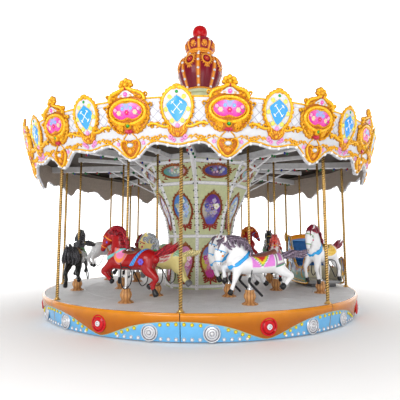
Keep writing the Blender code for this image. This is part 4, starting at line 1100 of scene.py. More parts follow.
def ribbed(profile, rows, base, top, sides=96):
    """A bulb with eight gilt ribs: the radius dips by 4 % in the lacquered gores between them."""
    p = flow(profile, rows)
    a = (np.arange(sides) * 360.0 / sides)[:, None]
    off = np.abs(np.mod(a + 22.5, 45.0) - 22.5)
    half = np.degrees(.03 / np.maximum(p[None, :, 0], .1))
    rib = np.clip(1.3 - off / half, 0, 1) ** .5
    radius = p[None, :, 0] * (1 - .045 * (1 - rib) * (.6 + .4 * np.cos(np.radians(off * 8))))
    # The lacquer is darker at each bulb's foot and lighter at its top, and the gilt is brighter on each rib's crest:
    # painted shade and highlight.
    red = blend(base, top, np.linspace(0, 1, rows)[None, :, None])
    ridge = np.clip(1 - off / half, 0, 1)[..., None]
    gilt = np.array((.55, .13, .008)) + np.array((.42, .25, .03)) * ridge
    colour = np.where((off < half)[..., None], gilt, red)
    return grid(at(radius, a, p[None, :, 1] + 0 * a), colour, wrap_u=True)


def pearls(profile, count, size, offset=0.0):
    """Silvered beads along each rib, at even steps along the profile."""
    p = flow(profile, 60)
    reach = np.concatenate([[0], np.cumsum(np.hypot(*np.diff(p, axis=0).T))])
    s = np.linspace(.06, .94, count) * reach[-1]
    r, z = np.interp(s, reach, p[:, 0]), np.interp(s, reach, p[:, 1])
    dome = lathe([(size, -.006), (size * .95, .006), (size * .7, .016), (size * .3, .022), (0.0, .023)], 10,
        (.8, .81, .84))
    part = moved(dome, facing(0.0 * z, z, r - .004))
    return moved(part, turns(EIGHTHS + offset))


crown_parts = [lathe(flow(COLLAR, 40), 64, (.58, .6, .36)),
    ribbed(LOWER_BULB, 36, (.15, .003, .012), (.26, .004, .018))]
crown_parts += [ribbed(UPPER_BULB, 28, (.24, .004, .014), (.34, .008, .028)),
    lathe(flow(BALL, 18), 48, (.5, .001, .004))]
a = np.linspace(-np.pi / 2, np.pi * 1.5, 11)
for z, r, size in ((4.838, .236, .034), (4.795, .232, .022), (5.168, .085, .014), (4.05, .306, .016)):
    ring_of_gilt = lathe(np.stack([r + size * np.cos(a), z + size * np.sin(a)], -1), 64, (.9, .34, .03))
    crown_parts.append((*ring_of_gilt[:3], 1))
pearl_parts = [pearls(LOWER_BULB, 6, .027), pearls(UPPER_BULB, 3, .025)]


def on_bulb(part, profile):
    """Lays a (u, v, h) part on a bulb of the crown, round the middle of a gore."""
    def bulged(u, v, h):
        p = flow(profile, 80)
        radius = np.interp(v, p[:, 1], p[:, 0])
        return at(radius * .965 + h, 22.5 + np.degrees(u / np.maximum(radius, .05)), v)
    return (*laid(part, bulged)[:3], 1)


AMBER = {"high": (1.0, .42, .04), "low": (.45, .08, .006)}
medal = oval(0, 4.575, .088, .098, 32)
gore = [ribbon(medal, .019, .026, across=6, wrap=True, **AMBER)]
gore += [leaf(*medal[k], k * 11.25 + 50, .05, .013, .026, -80, **AMBER) for k in range(0, 32, 2)]
gore += flower(0, 4.58, .058, (.7, .06, .04), (1.0, .5, .1), petals=6, height=.016, rise=.004)
gore += [leaf(0, 4.47, heading, .085, .02, .026, 0, **AMBER) for heading in (-90, -50, -130)]
gore += both(scroll(.062, 4.68, 20, -250, .085, .012, .022, 8, 1.3, **AMBER))
crown_parts += [moved(on_bulb(part, LOWER_BULB), turns(EIGHTHS)) for part in gore]
gore = [filled([(.055, 4.965), (0, 5.01), (-.055, 4.965), (0, 4.92)], (.85, .3, .03), 4, .016, .01)]
gore += [leaf(0, 4.965, heading, .062, .017, .03, 0, **AMBER) for heading in range(0, 360, 45)]
gore += both([leaf(0.0, 4.89, 25, .09, .013, .018, 40, **AMBER)])
crown_parts += [moved(on_bulb(part, UPPER_BULB), turns(EIGHTHS)) for part in gore]
make("crown_bulbs", crown_parts, [crown_paint, gold_leaf], ["crown"])
make("crown_pearls", pearl_parts, [lamp_silver])

# Horses: hollow glass-fibre figures, sprayed and hand painted, clear coated, in four galloping stances.
# Each is clamped to its own pole: a white tube below, which slides in the pedestal, and twisted brass above.
horse_paint = finish("horse_paint", None, rough=.22, spread=.04, grain=14.0, bump=.03, coat=.25, dirt=.03)
hair_paint = finish("hair_paint", None, rough=.4, spread=.12, grain=45.0, bump=.15, coat=.08, curls=2.6)
tack_paint = finish("tack_paint", None, rough=.34, spread=.1, grain=38.0, bump=.12, coat=.1)
black_rod = finish("black_rod", (.018, .018, .02), rough=.35, spread=.3, grain=60.0, bump=.12)
TRUNK = np.array([(-480, -125, 50, 60), (-440, -120, 100, 108), (-375, -122, 130, 135), (-290, -133, 136, 138),
    (-180, -148, 124, 125), (-50, -152, 118, 122), (70, -148, 120, 128), (160, -128, 120, 140),
    (225, -95, 100, 130), (265, -75, 60, 85)]) / 1000
STANCES = {  # rows of x, z, half width and half depth, and joints of x and z, in millimetres
    "high": {
        "neck": [(130, -60, 95, 150), (140, 50, 72, 128), (155, 130, 62, 108), (195, 195, 55, 88), (255, 225, 52, 75)],
        "head": [(265, 213, 52, 62), (315, 175, 56, 78), (352, 122, 54, 74), (388, 66, 42, 52), (415, 24, 34, 40),
            (430, -4, 30, 34)],
        "fore": [[(190, -120), (200, -180), (340, -300), (220, -400), (180, -430)],
            [(190, -120), (230, -180), (380, -290), (360, -370), (330, -400)]],
        "hind": [[(-360, -130), (-400, -250), (-540, -360), (-490, -470), (-540, -560)],
            [(-360, -130), (-340, -250), (-430, -390), (-360, -460), (-320, -490)]],
        "crest": [(-5, 10, 30, 30), (12, 100, 38, 46), (50, 200, 46, 56), (120, 268, 48, 58), (215, 288, 46, 50),
            (300, 255, 38, 40), (350, 205, 18, 20)],
        "tail": [(-440, -60, 30, 30), (-510, -50, 44, 46), (-590, -20, 52, 56), (-650, 30, 40, 46), (-700, 85, 8, 10)],
        "poll": (.262, .262, 38.0), "eye": (.338, .152), "strap": (.12, -.045, -32.0, .175, .11)},
    "low": {
        "neck": [(130, -60, 95, 150), (175, 25, 72, 125), (225, 80, 62, 105), (290, 112, 56, 88), (355, 105, 52, 72)],
        "head": [(360, 98, 52, 62), (402, 45, 56, 78), (425, -20, 54, 72), (435, -75, 42, 52), (435, -115, 34, 40),
            (430, -142, 28, 32)],
        "fore": [[(190, -120), (200, -200), (240, -330), (280, -440), (310, -500)],
            [(190, -120), (240, -150), (340, -180), (325, -290), (310, -360)]],
        "hind": [[(-360, -130), (-430, -220), (-575, -310), (-500, -400), (-440, -450)],
            [(-360, -130), (-450, -220), (-595, -300), (-570, -400), (-550, -460)]],
        "crest": [(-30, 5, 32, 30), (20, 75, 46, 52), (90, 135, 56, 64), (180, 175, 58, 64), (280, 185, 52, 56),
            (370, 160, 42, 46), (430, 105, 18, 24)],
        "tail": [(-440, -60, 30, 30), (-520, -40, 46, 50), (-620, -20, 56, 66), (-700, -10, 42, 52), (-775, 20, 8, 10)],
        "poll": (.35, .165, -5.0), "eye": (.418, .022), "strap": (.11, -.06, -38.0, .18, .112)},
    "tucked": {
        "neck": [(120, -60, 95, 150), (115, 50, 72, 125), (125, 130, 62, 102), (160, 185, 56, 80), (205, 205, 52, 68)],
        "head": [(205, 195, 52, 62), (245, 145, 56, 76), (272, 80, 54, 70), (291, 24, 42, 50), (304, -18, 34, 40),
            (312, -45, 30, 34)],
        "fore": [[(170, -120), (210, -150), (270, -155), (230, -280), (190, -380)],
            [(170, -120), (190, -150), (230, -160), (180, -280), (130, -380)]],
        "hind": [[(-360, -130), (-400, -230), (-500, -330), (-550, -410), (-610, -460)],
            [(-360, -130), (-370, -240), (-440, -350), (-490, -420), (-540, -470)]],
        "crest": [(-10, 10, 30, 30), (-5, 100, 36, 45), (30, 175, 42, 50), (95, 225, 44, 50), (170, 235, 40, 42),
            (235, 205, 32, 34), (270, 160, 16, 18)],
        "tail": [(-440, -60, 30, 30), (-520, -40, 42, 44), (-620, -20, 50, 54), (-700, -15, 38, 42), (-760, 20, 8, 10)],
        "poll": (.2, .235, 25.0), "eye": (.264, .115), "strap": (.1, -.05, -32.0, .17, .11)},
}
STANCES["upright"] = {**STANCES["high"], "eye": (.322, .135),
    "head": [(265, 213, 52, 62), (310, 165, 56, 78), (335, 105, 54, 74), (352, 45, 42, 52), (360, -2, 34, 40),
        (362, -32, 30, 34)],
    "fore": [[(190, -120), (220, -240), (270, -360), (220, -490), (200, -570)],
        [(190, -120), (240, -220), (330, -330), (310, -460), (270, -540)]],
    "hind": [[(-360, -130), (-380, -260), (-500, -380), (-500, -490), (-520, -570)],
        [(-360, -130), (-340, -260), (-440, -390), (-410, -480), (-400, -550)]]}
for stance in STANCES.values():
    stance.update({key: np.array(rows) / 1000 for key, rows in stance.items() if isinstance(rows, list)})


def limb(stations, count, sides, colour=(1, 1, 1), ridges=0, depth=0.0, twist=0.0, mat=0, caps=3):
    """A closed loft: ellipses square to a smooth path, whose rows are x, y, z, half width, half depth. Both
    ends close as half ellipses, and ridges, if any, make the radius x (1 - depth x |sin|) round each section."""
    rows = flow(stations, count)
    path = rows[:, :3]
    along = np.gradient(path, axis=0)
    along /= np.linalg.norm(along, axis=1)[:, None]
    ends = np.radians([82.0, 58.0, 30.0])[-caps:]
    start = path[0] - along[0] * (rows[0, 3:].min() * np.sin(ends))[:, None]
    stop = path[-1] + along[-1] * (rows[-1, 3:].min() * np.sin(ends[::-1]))[:, None]
    path = np.concatenate([start, path, stop])
    sizes = np.concatenate([rows[0, 3:] * np.cos(ends)[:, None], rows[:, 3:],
        rows[-1, 3:] * np.cos(ends[::-1])[:, None]])
    sizes[[0, -1]] *= .02
    along = np.concatenate([np.repeat(along[:1], caps, 0), along, np.repeat(along[-1:], caps, 0)])
    across = np.array([0.0, 1.0, 0.0]) - along * along[:, 1:2]
    across /= np.linalg.norm(across, axis=1)[:, None]
    deep = np.cross(along, across)
    a = np.arange(sides) * 2 * np.pi / sides
    round_ = a[None, :] + twist * np.linspace(0, 1, len(path))[:, None]
    swell = 1.0 - depth * np.abs(np.sin(round_ * ridges / 2.0)) if ridges else np.ones(round_.shape)
    points = (path[:, None, :] + across[:, None, :] * (sizes[:, :1] * np.cos(a) * swell)[..., None]
              + deep[:, None, :] * (sizes[:, 1:] * np.sin(a) * swell)[..., None])
    # With a pair of colours, the first lies in the grooves between ridges and the second on their crests: painted shade
    # and highlight.
    tone = np.clip((swell - (1 - depth)) / max(depth, 1e-6), 0, 1)[..., None] if ridges else 1.0
    colour = np.asarray(colour, float)
    paint = colour[0] + (colour[1] - colour[0]) * tone if colour.ndim == 2 else np.broadcast_to(colour, points.shape)
    return grid(points, paint + 0 * points, wrap_v=True, mat=mat)


def sided(rows, y):
    """Stations (x, z, half width, half depth) at one distance y from the middle plane."""
    return [(x, y, z, w, d) for x, z, w, d in rows]


def leg_rows(joints, y, thick):
    """Stations down a leg: its joints' places, with the flesh tapering to the knee and fine below."""
    top, mid, knee, ankle, tip = np.array(joints)
    places = [top, mid, knee + (mid - knee) * .45, knee, (knee + ankle) / 2, ankle, ankle + (tip - ankle) * .45]
    widths = np.array([.062, .05, .037, .031, .022, .026, .021]) * thick
    depths = np.array([.105, .074, .05, .038, .026, .029, .024]) * thick
    spread = y * np.array([.75, .95, 1.05, 1.1, 1.1, 1.1, 1.1])
    return [(p[0], s, p[1], w, d) for p, s, w, d in zip(places, spread, widths, depths)]


def rough(points, faces):
    """A passing mesh object, for modifiers to work on."""
    mesh = bpy.data.meshes.new("rough")
    mesh.from_pydata(points.tolist(), [], faces.tolist())
    obj = bpy.data.objects.new("rough", mesh)
    scene.collection.objects.link(obj)
    return obj


def worked(obj):
    """An object's points and triangles after its modifiers; the object is taken away."""
    solid = obj.evaluated_get(bpy.context.evaluated_depsgraph_get()).to_mesh()
    solid.calc_loop_triangles()
    points = np.zeros(len(solid.vertices) * 3, np.float32)
    solid.vertices.foreach_get("co", points)
    faces = np.zeros(len(solid.loop_triangles) * 3, np.int32)
    solid.loop_triangles.foreach_get("vertices", faces)
    bpy.data.objects.remove(obj)
    return points.reshape(-1, 3).astype(float), faces.reshape(-1, 3)


def fused(parts):
    """One skin over overlapping closed parts: a voxel remesh, smoothed and thinned, as points and triangles."""
    counts = np.cumsum([0] + [len(p[0]) for p in parts])
    obj = rough(np.concatenate([p[0] for p in parts]), np.concatenate([p[1] + c for p, c in zip(parts, counts)]))
    obj.data.validate()
    remesh = obj.modifiers.new("fuse", "REMESH")
    remesh.mode = "VOXEL"
    remesh.voxel_size = .009
    soften = obj.modifiers.new("soften", "SMOOTH")
    soften.factor = .5
    soften.iterations = 5
    obj.modifiers.new("thin", "DECIMATE").ratio = .125
    return worked(obj)


def skin(s):
    """The bare horse: trunk, neck, head, four legs and the jaw, fused."""
    parts = [limb(sided(TRUNK, 0), 40, 28), limb(sided(s["neck"], 0), 24, 24), limb(sided(s["head"], 0), 26, 24)]
    for k, side in enumerate((1, -1)):
        parts.append(limb(leg_rows(s["fore"][k], .07 * side, 1.0), 30, 18))
        parts.append(limb(leg_rows(s["hind"][k], .074 * side, 1.14), 30, 18))
    x, z = s["eye"]
    parts.append(limb([(x - .035, 0, z - .03, .052, .04), (x - .01, 0, z - .07, .05, .036)], 8, 18))
    return fused(parts)


def draped(grids, host):
    """The grids' points moved to the nearest place on the host's skin by a shrinkwrap."""
    cloth = rough(np.concatenate([g.reshape(-1, 3) for g in grids]), np.zeros((0, 3), int))
    wrap = cloth.modifiers.new("wrap", "SHRINKWRAP")
    wrap.target = rough(*host)
    target = wrap.target
    points = worked(cloth)[0]
    bpy.data.objects.remove(target)
    cuts = np.cumsum([g.shape[0] * g.shape[1] for g in grids])[:-1]
    return [p.reshape(g.shape) for p, g in zip(np.split(points, cuts), grids)]


def raised(points, height, colour, wrap=False, mat=0):
    """A draped grid lifted along its own normals by the height of each point."""
    du = np.roll(points, -1, 0) - np.roll(points, 1, 0) if wrap else np.gradient(points, axis=0)
    dv = np.gradient(points, axis=1)
    normal = np.cross(du, dv)
    normal /= np.maximum(np.linalg.norm(normal, axis=-1), 1e-9)[..., None]
    return grid(points + normal * np.asarray(height)[..., None], colour + 0 * points, wrap_u=wrap, mat=mat)


def trunk_at(x, theta, lift=.01):
    """Points on the trunk's sections: x along it, theta in degrees from the spine towards +Y."""
    x_table, *tables = TRUNK.T
    middle, wide, deep = [np.interp(x, x_table, table) for table in tables]
    t = np.radians(theta)
    return np.stack(np.broadcast_arrays(x, (wide + lift) * np.sin(t), middle + (deep + lift) * np.cos(t)), -1)


def border(shape):
    """Heights for a cloth: nothing on the outer row, a thicker hem inside it, then even."""
    height = np.full(shape, .006)
    height[:, [1, -2]] = .009
    height[:, [0, -1]] = -.001
    height[[1, -2], 1:-1] = .009
    height[[0, -1]] = -.001
    return height


def ring(x, z, tilt, long, wide, width, count=36, across=5):
    """A strap's points round a centre in the plane tilted by this angle about Y; +long points forward."""
    t = np.radians(tilt)
    a = np.radians(np.linspace(0, 360, count, endpoint=False))[:, None]
    w = np.linspace(-.5, .5, across)[None, :] * width
    ahead = long * np.cos(a) + 0 * w
    return np.stack([x + ahead * np.cos(t) - w * np.sin(t), wide * np.sin(a) + 0 * w,
        z + ahead * np.sin(t) + w * np.cos(t)], -1)


def rod(path, radius, sides=7, closed=False, colour=(.02, .02, .02), mat=0):
    """A round rod along a smooth path of (x, y, z)."""
    path = np.asarray(path, float)
    if closed:
        loop = np.concatenate([path[-2:], path, path[:3]])
        p = flow(loop, 8 * len(loop))
        p = p[(2 * 8 * len(loop)) // (len(loop) - 1):][: int(8 * len(loop) * len(path) / (len(loop) - 1))]
        along = np.roll(p, -1, 0) - np.roll(p, 1, 0)
    else:
        p = flow(path, 6 * len(path))
        along = np.gradient(p, axis=0)
    along /= np.linalg.norm(along, axis=1)[:, None]
    guide = np.array([.12, .98, .16])
    side = guide - along * (along @ guide)[:, None]
    side /= np.linalg.norm(side, axis=1)[:, None]
    up = np.cross(along, side)
    a = np.arange(sides) * 2 * np.pi / sides
    size = np.full(len(p), radius)
    if not closed:
        size[[0, -1]] = radius * .05
    points = p[:, None, :] + (side[:, None, :] * np.cos(a)[None, :, None]
        + up[:, None, :] * np.sin(a)[None, :, None]) * size[:, None, None]
    return grid(points, colour, wrap_u=closed, wrap_v=True, mat=mat)


def blob(x, y, z, rx, ry, rz, colour, sides=9, rings=6, mat=0):
    """An ellipsoid: a lathe of half a circle, scaled."""
    t = np.linspace(-np.pi / 2, np.pi / 2, rings)
    part = lathe(np.stack([np.cos(t), np.sin(t)], -1), sides, colour, mat)
    return (part[0] * (rx, ry, rz) + (x, y, z), *part[1:])


def hair(s, dark, light, tail_pair, sweep, bushy=False):
    """Mane and tail: a ridged loft along the crest and dock, with tapered locks laid off both sides; the
    tail's locks trail by `sweep` at each station, which is least in the inner row, where neighbours are near.
    A bushy tail has a second fall of longer locks, whose curls are sines of the distance along."""
    # The ridged lofts and locks take a dark colour in their grooves and a light one on their crests: painted shade and
    # highlight.
    parts = [limb(sided(s["crest"], 0), 20, 28, (dark, light), 9, .22, 2.6, 1, 2),
             limb(sided(s["tail"], 0), 16, 20, tail_pair, 6, .24, 2.6, 1, 2)]
    crest = flow(s["crest"], 60)
    neck = np.array(s["neck"])
    for k, t in enumerate(np.linspace(3, 54, 14).astype(int)):
        x, z, w, d = crest[t]
        centre = neck[np.argmin(np.hypot(neck[:, 0] - x, neck[:, 1] - z))]
        dx, dz = (centre[:2] - (x, z)) / max(np.hypot(*(centre[:2] - (x, z))), 1e-6)
        for side in (1, -1):
            reach = .085 + .02 * np.sin(k * 2.1 + side)
            out = centre[2] + .012
            parts.append(limb([
                (x, side * w * .3, z, .012, .02),
                (x + dx * reach * .4 - .012, side * (out * .85), z + dz * reach * .4, .014, .023),
                (x + dx * reach * .85 - .03, side * (out + .004), z + dz * reach * .85 - .008, .012, .02),
                (x + dx * reach * 1.1 - .065, side * (out - .002), z + dz * reach * 1.1 - .004, .003, .004),
            ], 7, 5, (dark, light), 3, .25, 1.2, 1, 1))
    tail = s["tail"] if sweep else s["tail"][:4]
    narrow, flat = (1.0, 1.0) if sweep else (.6, .5)
    for k, (dy, dz) in enumerate(((.03, .015), (-.03, .015), (.034, -.02), (-.034, -.02), (0, -.045), (0, .03))):
        rows = []
        for i, (x, z, _, _) in enumerate(tail):
            size = (.014, .018) if i < len(tail) - 1 else (.003, .004)
            fall = z + dz * flat * min(i, 3) / 3 + .01 * np.sin(k * 1.7 + i)
            rows.append((x - sweep * i, dy * narrow * min(i, 2) / 2 * (1.2 if i < 4 else .8), fall, *size))
        parts.append(limb(rows, 9, 6, tail_pair, 3, .25, 1.5, 1, 1))
    for k in range(14 if bushy else 0):
        a = np.radians(360 * k / 14)
        dy, out = np.cos(a), .5 + .5 * np.sin(a)
        parts.append(limb([
            (-.47 - .1 * out, dy * .03, -.03, .018, .022), (-.55 - .1 * out, dy * .075, .0 + .03 * out, .026, .03),
            (-.6 - .06 * out, dy * .105, -.08, .028, .03),
            (-.575 - .05 * out, dy * .125 + .012 * np.sin(k), -.16, .024, .026),
            (-.6 - .03 * out, dy * .105, -.22 - .02 * np.cos(3 * a), .006, .008),
        ], 10, 6, (dark, light), 3, .3, 2.2, 1, 1))
    return parts


def head_parts(s, coat, hair_pair):
    """Eyes under lids, nostrils, ears, forelock and bit, placed from eye, poll and muzzle."""
    parts = []
    ex, ez = s["eye"]
    px, pz, lean = s["poll"]
    mx, mz = s["head"][-1][:2]
    down = np.array(s["head"][-1][:2]) - s["head"][-3][:2]
    down = down / np.hypot(*down)
    dx, dz = np.cos(np.radians(90 + lean)), np.sin(np.radians(90 + lean))
    for side in (1, -1):
        lid = [(-.026, .046, .012, .005), (0, .053, .021, .006), (.024, .045, .01, .005)]
        ear = [(0, .03, -.01, .017, .02), (.035, .038, 0, .014, .019), (.075, .036, 0, .003, .004)]
        lining = [(0, .013, .034, .005, .008, .01), (.035, .013, .04, 0, .007, .009), (.062, .009, .038, 0, .002, .003)]
        parts += [
            blob(ex, side * .0475, ez, .02, .01, .016, (.85, .85, .82)),
            blob(ex + .003, side * .0515, ez, .013, .0095, .012, (.02, .01, .01)),
            limb([(ex + x, side * y, ez + z, r, r) for x, y, z, r in lid], 6, 6, np.array(coat) * .8, caps=1),
            blob(mx + .01, side * .02, mz + .002, .01, .007, .008, (.1, .02, .02)),
            limb([(px + dx * t, side * y, pz + dz * t + z, w, d) for t, y, z, w, d in ear], 7, 8, coat, caps=1),
            limb([(px + dx * t + x, side * y, pz + dz * t + z, w, d) for t, x, y, z, w, d in lining], 6, 6,
                (.45, .12, .12), caps=1)]
    forehead = (px - ex) / np.hypot(px - ex, pz - ez)
    for k, spread in enumerate((-.03, -.015, 0.0, .015, .03)):
        parts.append(limb([
            (px + .01, spread * .4, pz + .025, .01, .012),
            (px + .055, spread * .9, pz + .015 - abs(spread) * .3, .013, .014),
            (ex + .045 + forehead * .02, spread * 1.3, ez + .045, .012, .012),
            (ex + .05, spread * 1.5 + .004 * np.sin(k * 2), ez + .012, .003, .004),
        ], 7, 6, hair_pair, 3, .25, 1.2, 1, 1))
    x, z = mx - .012, mz + .004
    corner = x - down[0] * .05, z - down[1] * .05
    bit = [(corner[0], .03, corner[1]), (x, .027, z), (x + .014, 0, z - .018), (x, -.027, z),
        (corner[0], -.03, corner[1])]
    return parts + [rod(bit, .0035, 6, colour=(.12, .01, .01))]


def hooves(s, colour):
    """Four flared stubs below the pasterns, along each leg's last line."""
    parts = []
    for group, base, thick in (("fore", .07, 1.0), ("hind", .074, 1.14)):
        for legs, side in zip(s[group], (1, -1)):
            ankle, tip = np.array(legs[-2:])
            top = ankle + (tip - ankle) * .42
            places = [top, (top + tip) / 2, tip, tip + (tip - top) * .08]
            sizes = [(.024, .027), (.029, .034), (.031, .036), (.03, .037)]
            rows = [(x, base * side * 1.1, z, w * thick, d * thick) for (x, z), (w, d) in zip(places, sizes)]
            parts.append(limb(rows, 6, 12, colour, caps=2))
    return parts


def saddle(front, back, colour):
    """Seat: a patch over the spine whose height rises at pommel and cantle and rolls over at its rim."""
    w = np.linspace(0, 1, 14)[:, None]
    u = np.linspace(-1, 1, 13)[None, :]
    points = trunk_at(front + (back - front) * w + 0 * u, u * (34 + 10 * np.sin(np.pi * w)), .012)
    height = .014 + .034 * np.clip(1 - w / .22, 0, 1) ** 1.5 + .044 * np.clip((w - .66) / .34, 0, 1) ** 1.6
    height = height * (1 - .55 * np.abs(u) ** 2.5)
    height[:, [0, -1]] = -.002
    height[:, [1, -2]] *= .9
    height[[0, -1]] = -.002
    rim = np.maximum(np.abs(u) ** 6, np.abs(2 * w - 1) ** 8)[..., None]
    paint = np.array(colour) * (1 - .5 * rim) + .12 * np.array((1, .6, .3)) * rim
    return points[::-1], height[::-1], paint[::-1]


def cloth(front, back, reach, pattern, rows=12, columns=29):
    """A cloth over the spine from x = front to back, hanging to theta = reach(share along), both sides."""
    t = np.linspace(0, 1, rows)[:, None]
    u = np.linspace(-1, 1, columns)[None, :]
    points = trunk_at(front + (back - front) * t + 0 * u, u * reach(t), .01)
    return points[::-1], border(points.shape[:2]), pattern(t + 0 * u, np.abs(u) + 0 * t)[::-1]


def bands_of(value, edges, colours):
    """Picks a colour for each value by the edges it lies between."""
    return np.asarray(colours, float)[np.searchsorted(np.asarray(edges), value)]


def flap_pattern(main, edge, second):
    """A plain cloth with a hem in the edge's colour, a dark line inside it and a second band."""
    def pattern(t, u):
        rim = np.minimum(np.minimum(t, 1 - t) * 1.2, 1 - u)
        return bands_of(rim, (.07, .13, .3), (edge, np.array(main) * .6, second or edge, main))
    return pattern


def show_pattern(t, u):
    """Pink cloth with a white-edged triangle, point down, striped yellow and green round a red heart."""
    depth = (u - .3) / .62
    off = np.abs(t - .45)
    near = np.where(depth > 0, .36 * (1 - depth) - off, .36 - off)
    stripes = ((.72, .22, .66), (.9, .9, .88), (.1, .42, .1), (.8, .62, .03), (.62, .04, .03))
    hem = (u > .93) | (t < .04) | (t > .96)
    return np.where(hem[..., None], (.88, .86, .88), bands_of(near, (-.03, 0.0, .05, .14), stripes))


def scale_pattern(main, light):
    """A cloth woven in light scales on the main colour, with a light hem."""
    def pattern(t, u):
        cell = np.sin(t * 18.0) * np.sin(u * 26.0 + np.floor(t * 6) * 1.5)
        rim = np.minimum(np.minimum(t, 1 - t), 1 - u)
        woven = blend(main, light, (.5 + .5 * np.clip(cell * 3, -1, 1))[..., None])
        return np.where((rim < .06)[..., None], light, woven)
    return pattern


def strap_rise(points):
    """Heights for a strap laid (along, across), with rounded edges."""
    height = np.full(points.shape[:2], .007)
    height[:, [0, -1]] = -.002
    height[:, [1, -2]] = .0056
    return height


BLACK, IVORY = (.012, .012, .014), (.84, .84, .85)
TURQUOISE, SKY_BLUE, ORANGE = (.15, .5, .48), (.04, .36, .78), (.85, .26, .02)
# Each hair and tail pair is a colour for painted shade in the grooves, then one for painted highlight on the crests.
COATS = {
    "red": dict(coat=(.34, .002, .004), hair=((.022, .002, .004), (.42, .012, .022)), seat=(.15, .04, .03),
        strap=TURQUOISE, bridle=ORANGE, cloth="flap", colours=((.8, .22, .45), (.82, .26, .05), None),
        croup=((.03, .12, .55), (.1, .42, .75)), flower=(.16, .1, .62)),
    "white": dict(coat=IVORY, hair=((.014, .008, .014), (.26, .2, .27)), seat=(.22, .075, .06), strap=SKY_BLUE,
        bridle=(.05, .42, .8), cloth="show", croup=((.03, .3, .13), (.5, .16, .44)), flower=(.9, .28, .02)),
    "pearl": dict(coat=IVORY, hair=((.035, .002, .006), (.3, .015, .045)), seat=(.3, .2, .03), strap=(.03, .34, .72),
        bridle=(.1, .34, .08), cloth="scale", colours=((.75, .42, .02), (.9, .62, .1)),
        croup=((.7, .38, .02), (.55, .08, .1)), flower=(.55, .06, .16)),
    "cream": dict(coat=(.8, .68, .26), tail=((.3, .25, .1), (.62, .55, .28)), hair=((.15, .16, .17), (.38, .4, .42)),
        seat=(.1, .3, .1), strap=(.05, .4, .1), bridle=(.55, .02, .03), hoof=(.16, .16, .17), cloth="scale",
        colours=((.62, .01, .02), (.85, .8, .72)), croup=((.04, .4, .08), (.75, .8, .7)), flower=(.6, .03, .1)),
    "black": dict(coat=(.012, .014, .014), hair=(BLACK, (.09, .09, .1)), seat=(.1, .03, .02), strap=(.1, .28, .12),
        bridle=(.55, .38, .08), cloth="scale", colours=((.03, .1, .06), (.35, .32, .3)),
        croup=((.3, .02, .03), (.5, .4, .1)), flower=(.55, .38, .1)),
    "plumed": dict(coat=(.44, .006, .006), hair=((.3, .05, .01), (.9, .32, .03)), seat=(.1, .02, .02),
        strap=(.5, .02, .02), bridle=(.1, .3, .7), cloth="scale", colours=((.5, .02, .02), (.75, .4, .05)),
        croup=((.5, .02, .02), (.1, .3, .6)), flower=(.1, .25, .65)),
    "scarlet": dict(coat=(.44, .004, .007), hair=((.3, .006, .008), (.75, .22, .16)), seat=(.1, .03, .02),
        strap=(.8, .34, .03), bridle=(.8, .34, .03), cloth="scale", colours=((.04, .26, .1), (.1, .35, .65)),
        croup=((.04, .26, .1), (.8, .62, .1)), flower=(.1, .25, .65), face=(.8, .72, .7)),
    "grey": dict(coat=IVORY, hair=(BLACK, (.1, .1, .11)), seat=(.15, .05, .03), strap=(.45, .03, .04),
        bridle=(.03, .2, .55), cloth="flap", colours=((.05, .24, .6), (.75, .6, .1), None),
        croup=((.5, .02, .03), (.8, .6, .2)), flower=(.1, .16, .6)),
}
FOOT_LOOP = [(-.02, .13, -.24), (-.2, .16, -.26), (-.22, .185, -.42), (-.13, .19, -.5), (-.06, .185, -.42)]
FOOT_BAR = [(.02, .125, -.21), (.055, .15, -.33), (.07, .16, -.37), (-.1, .16, -.54)]


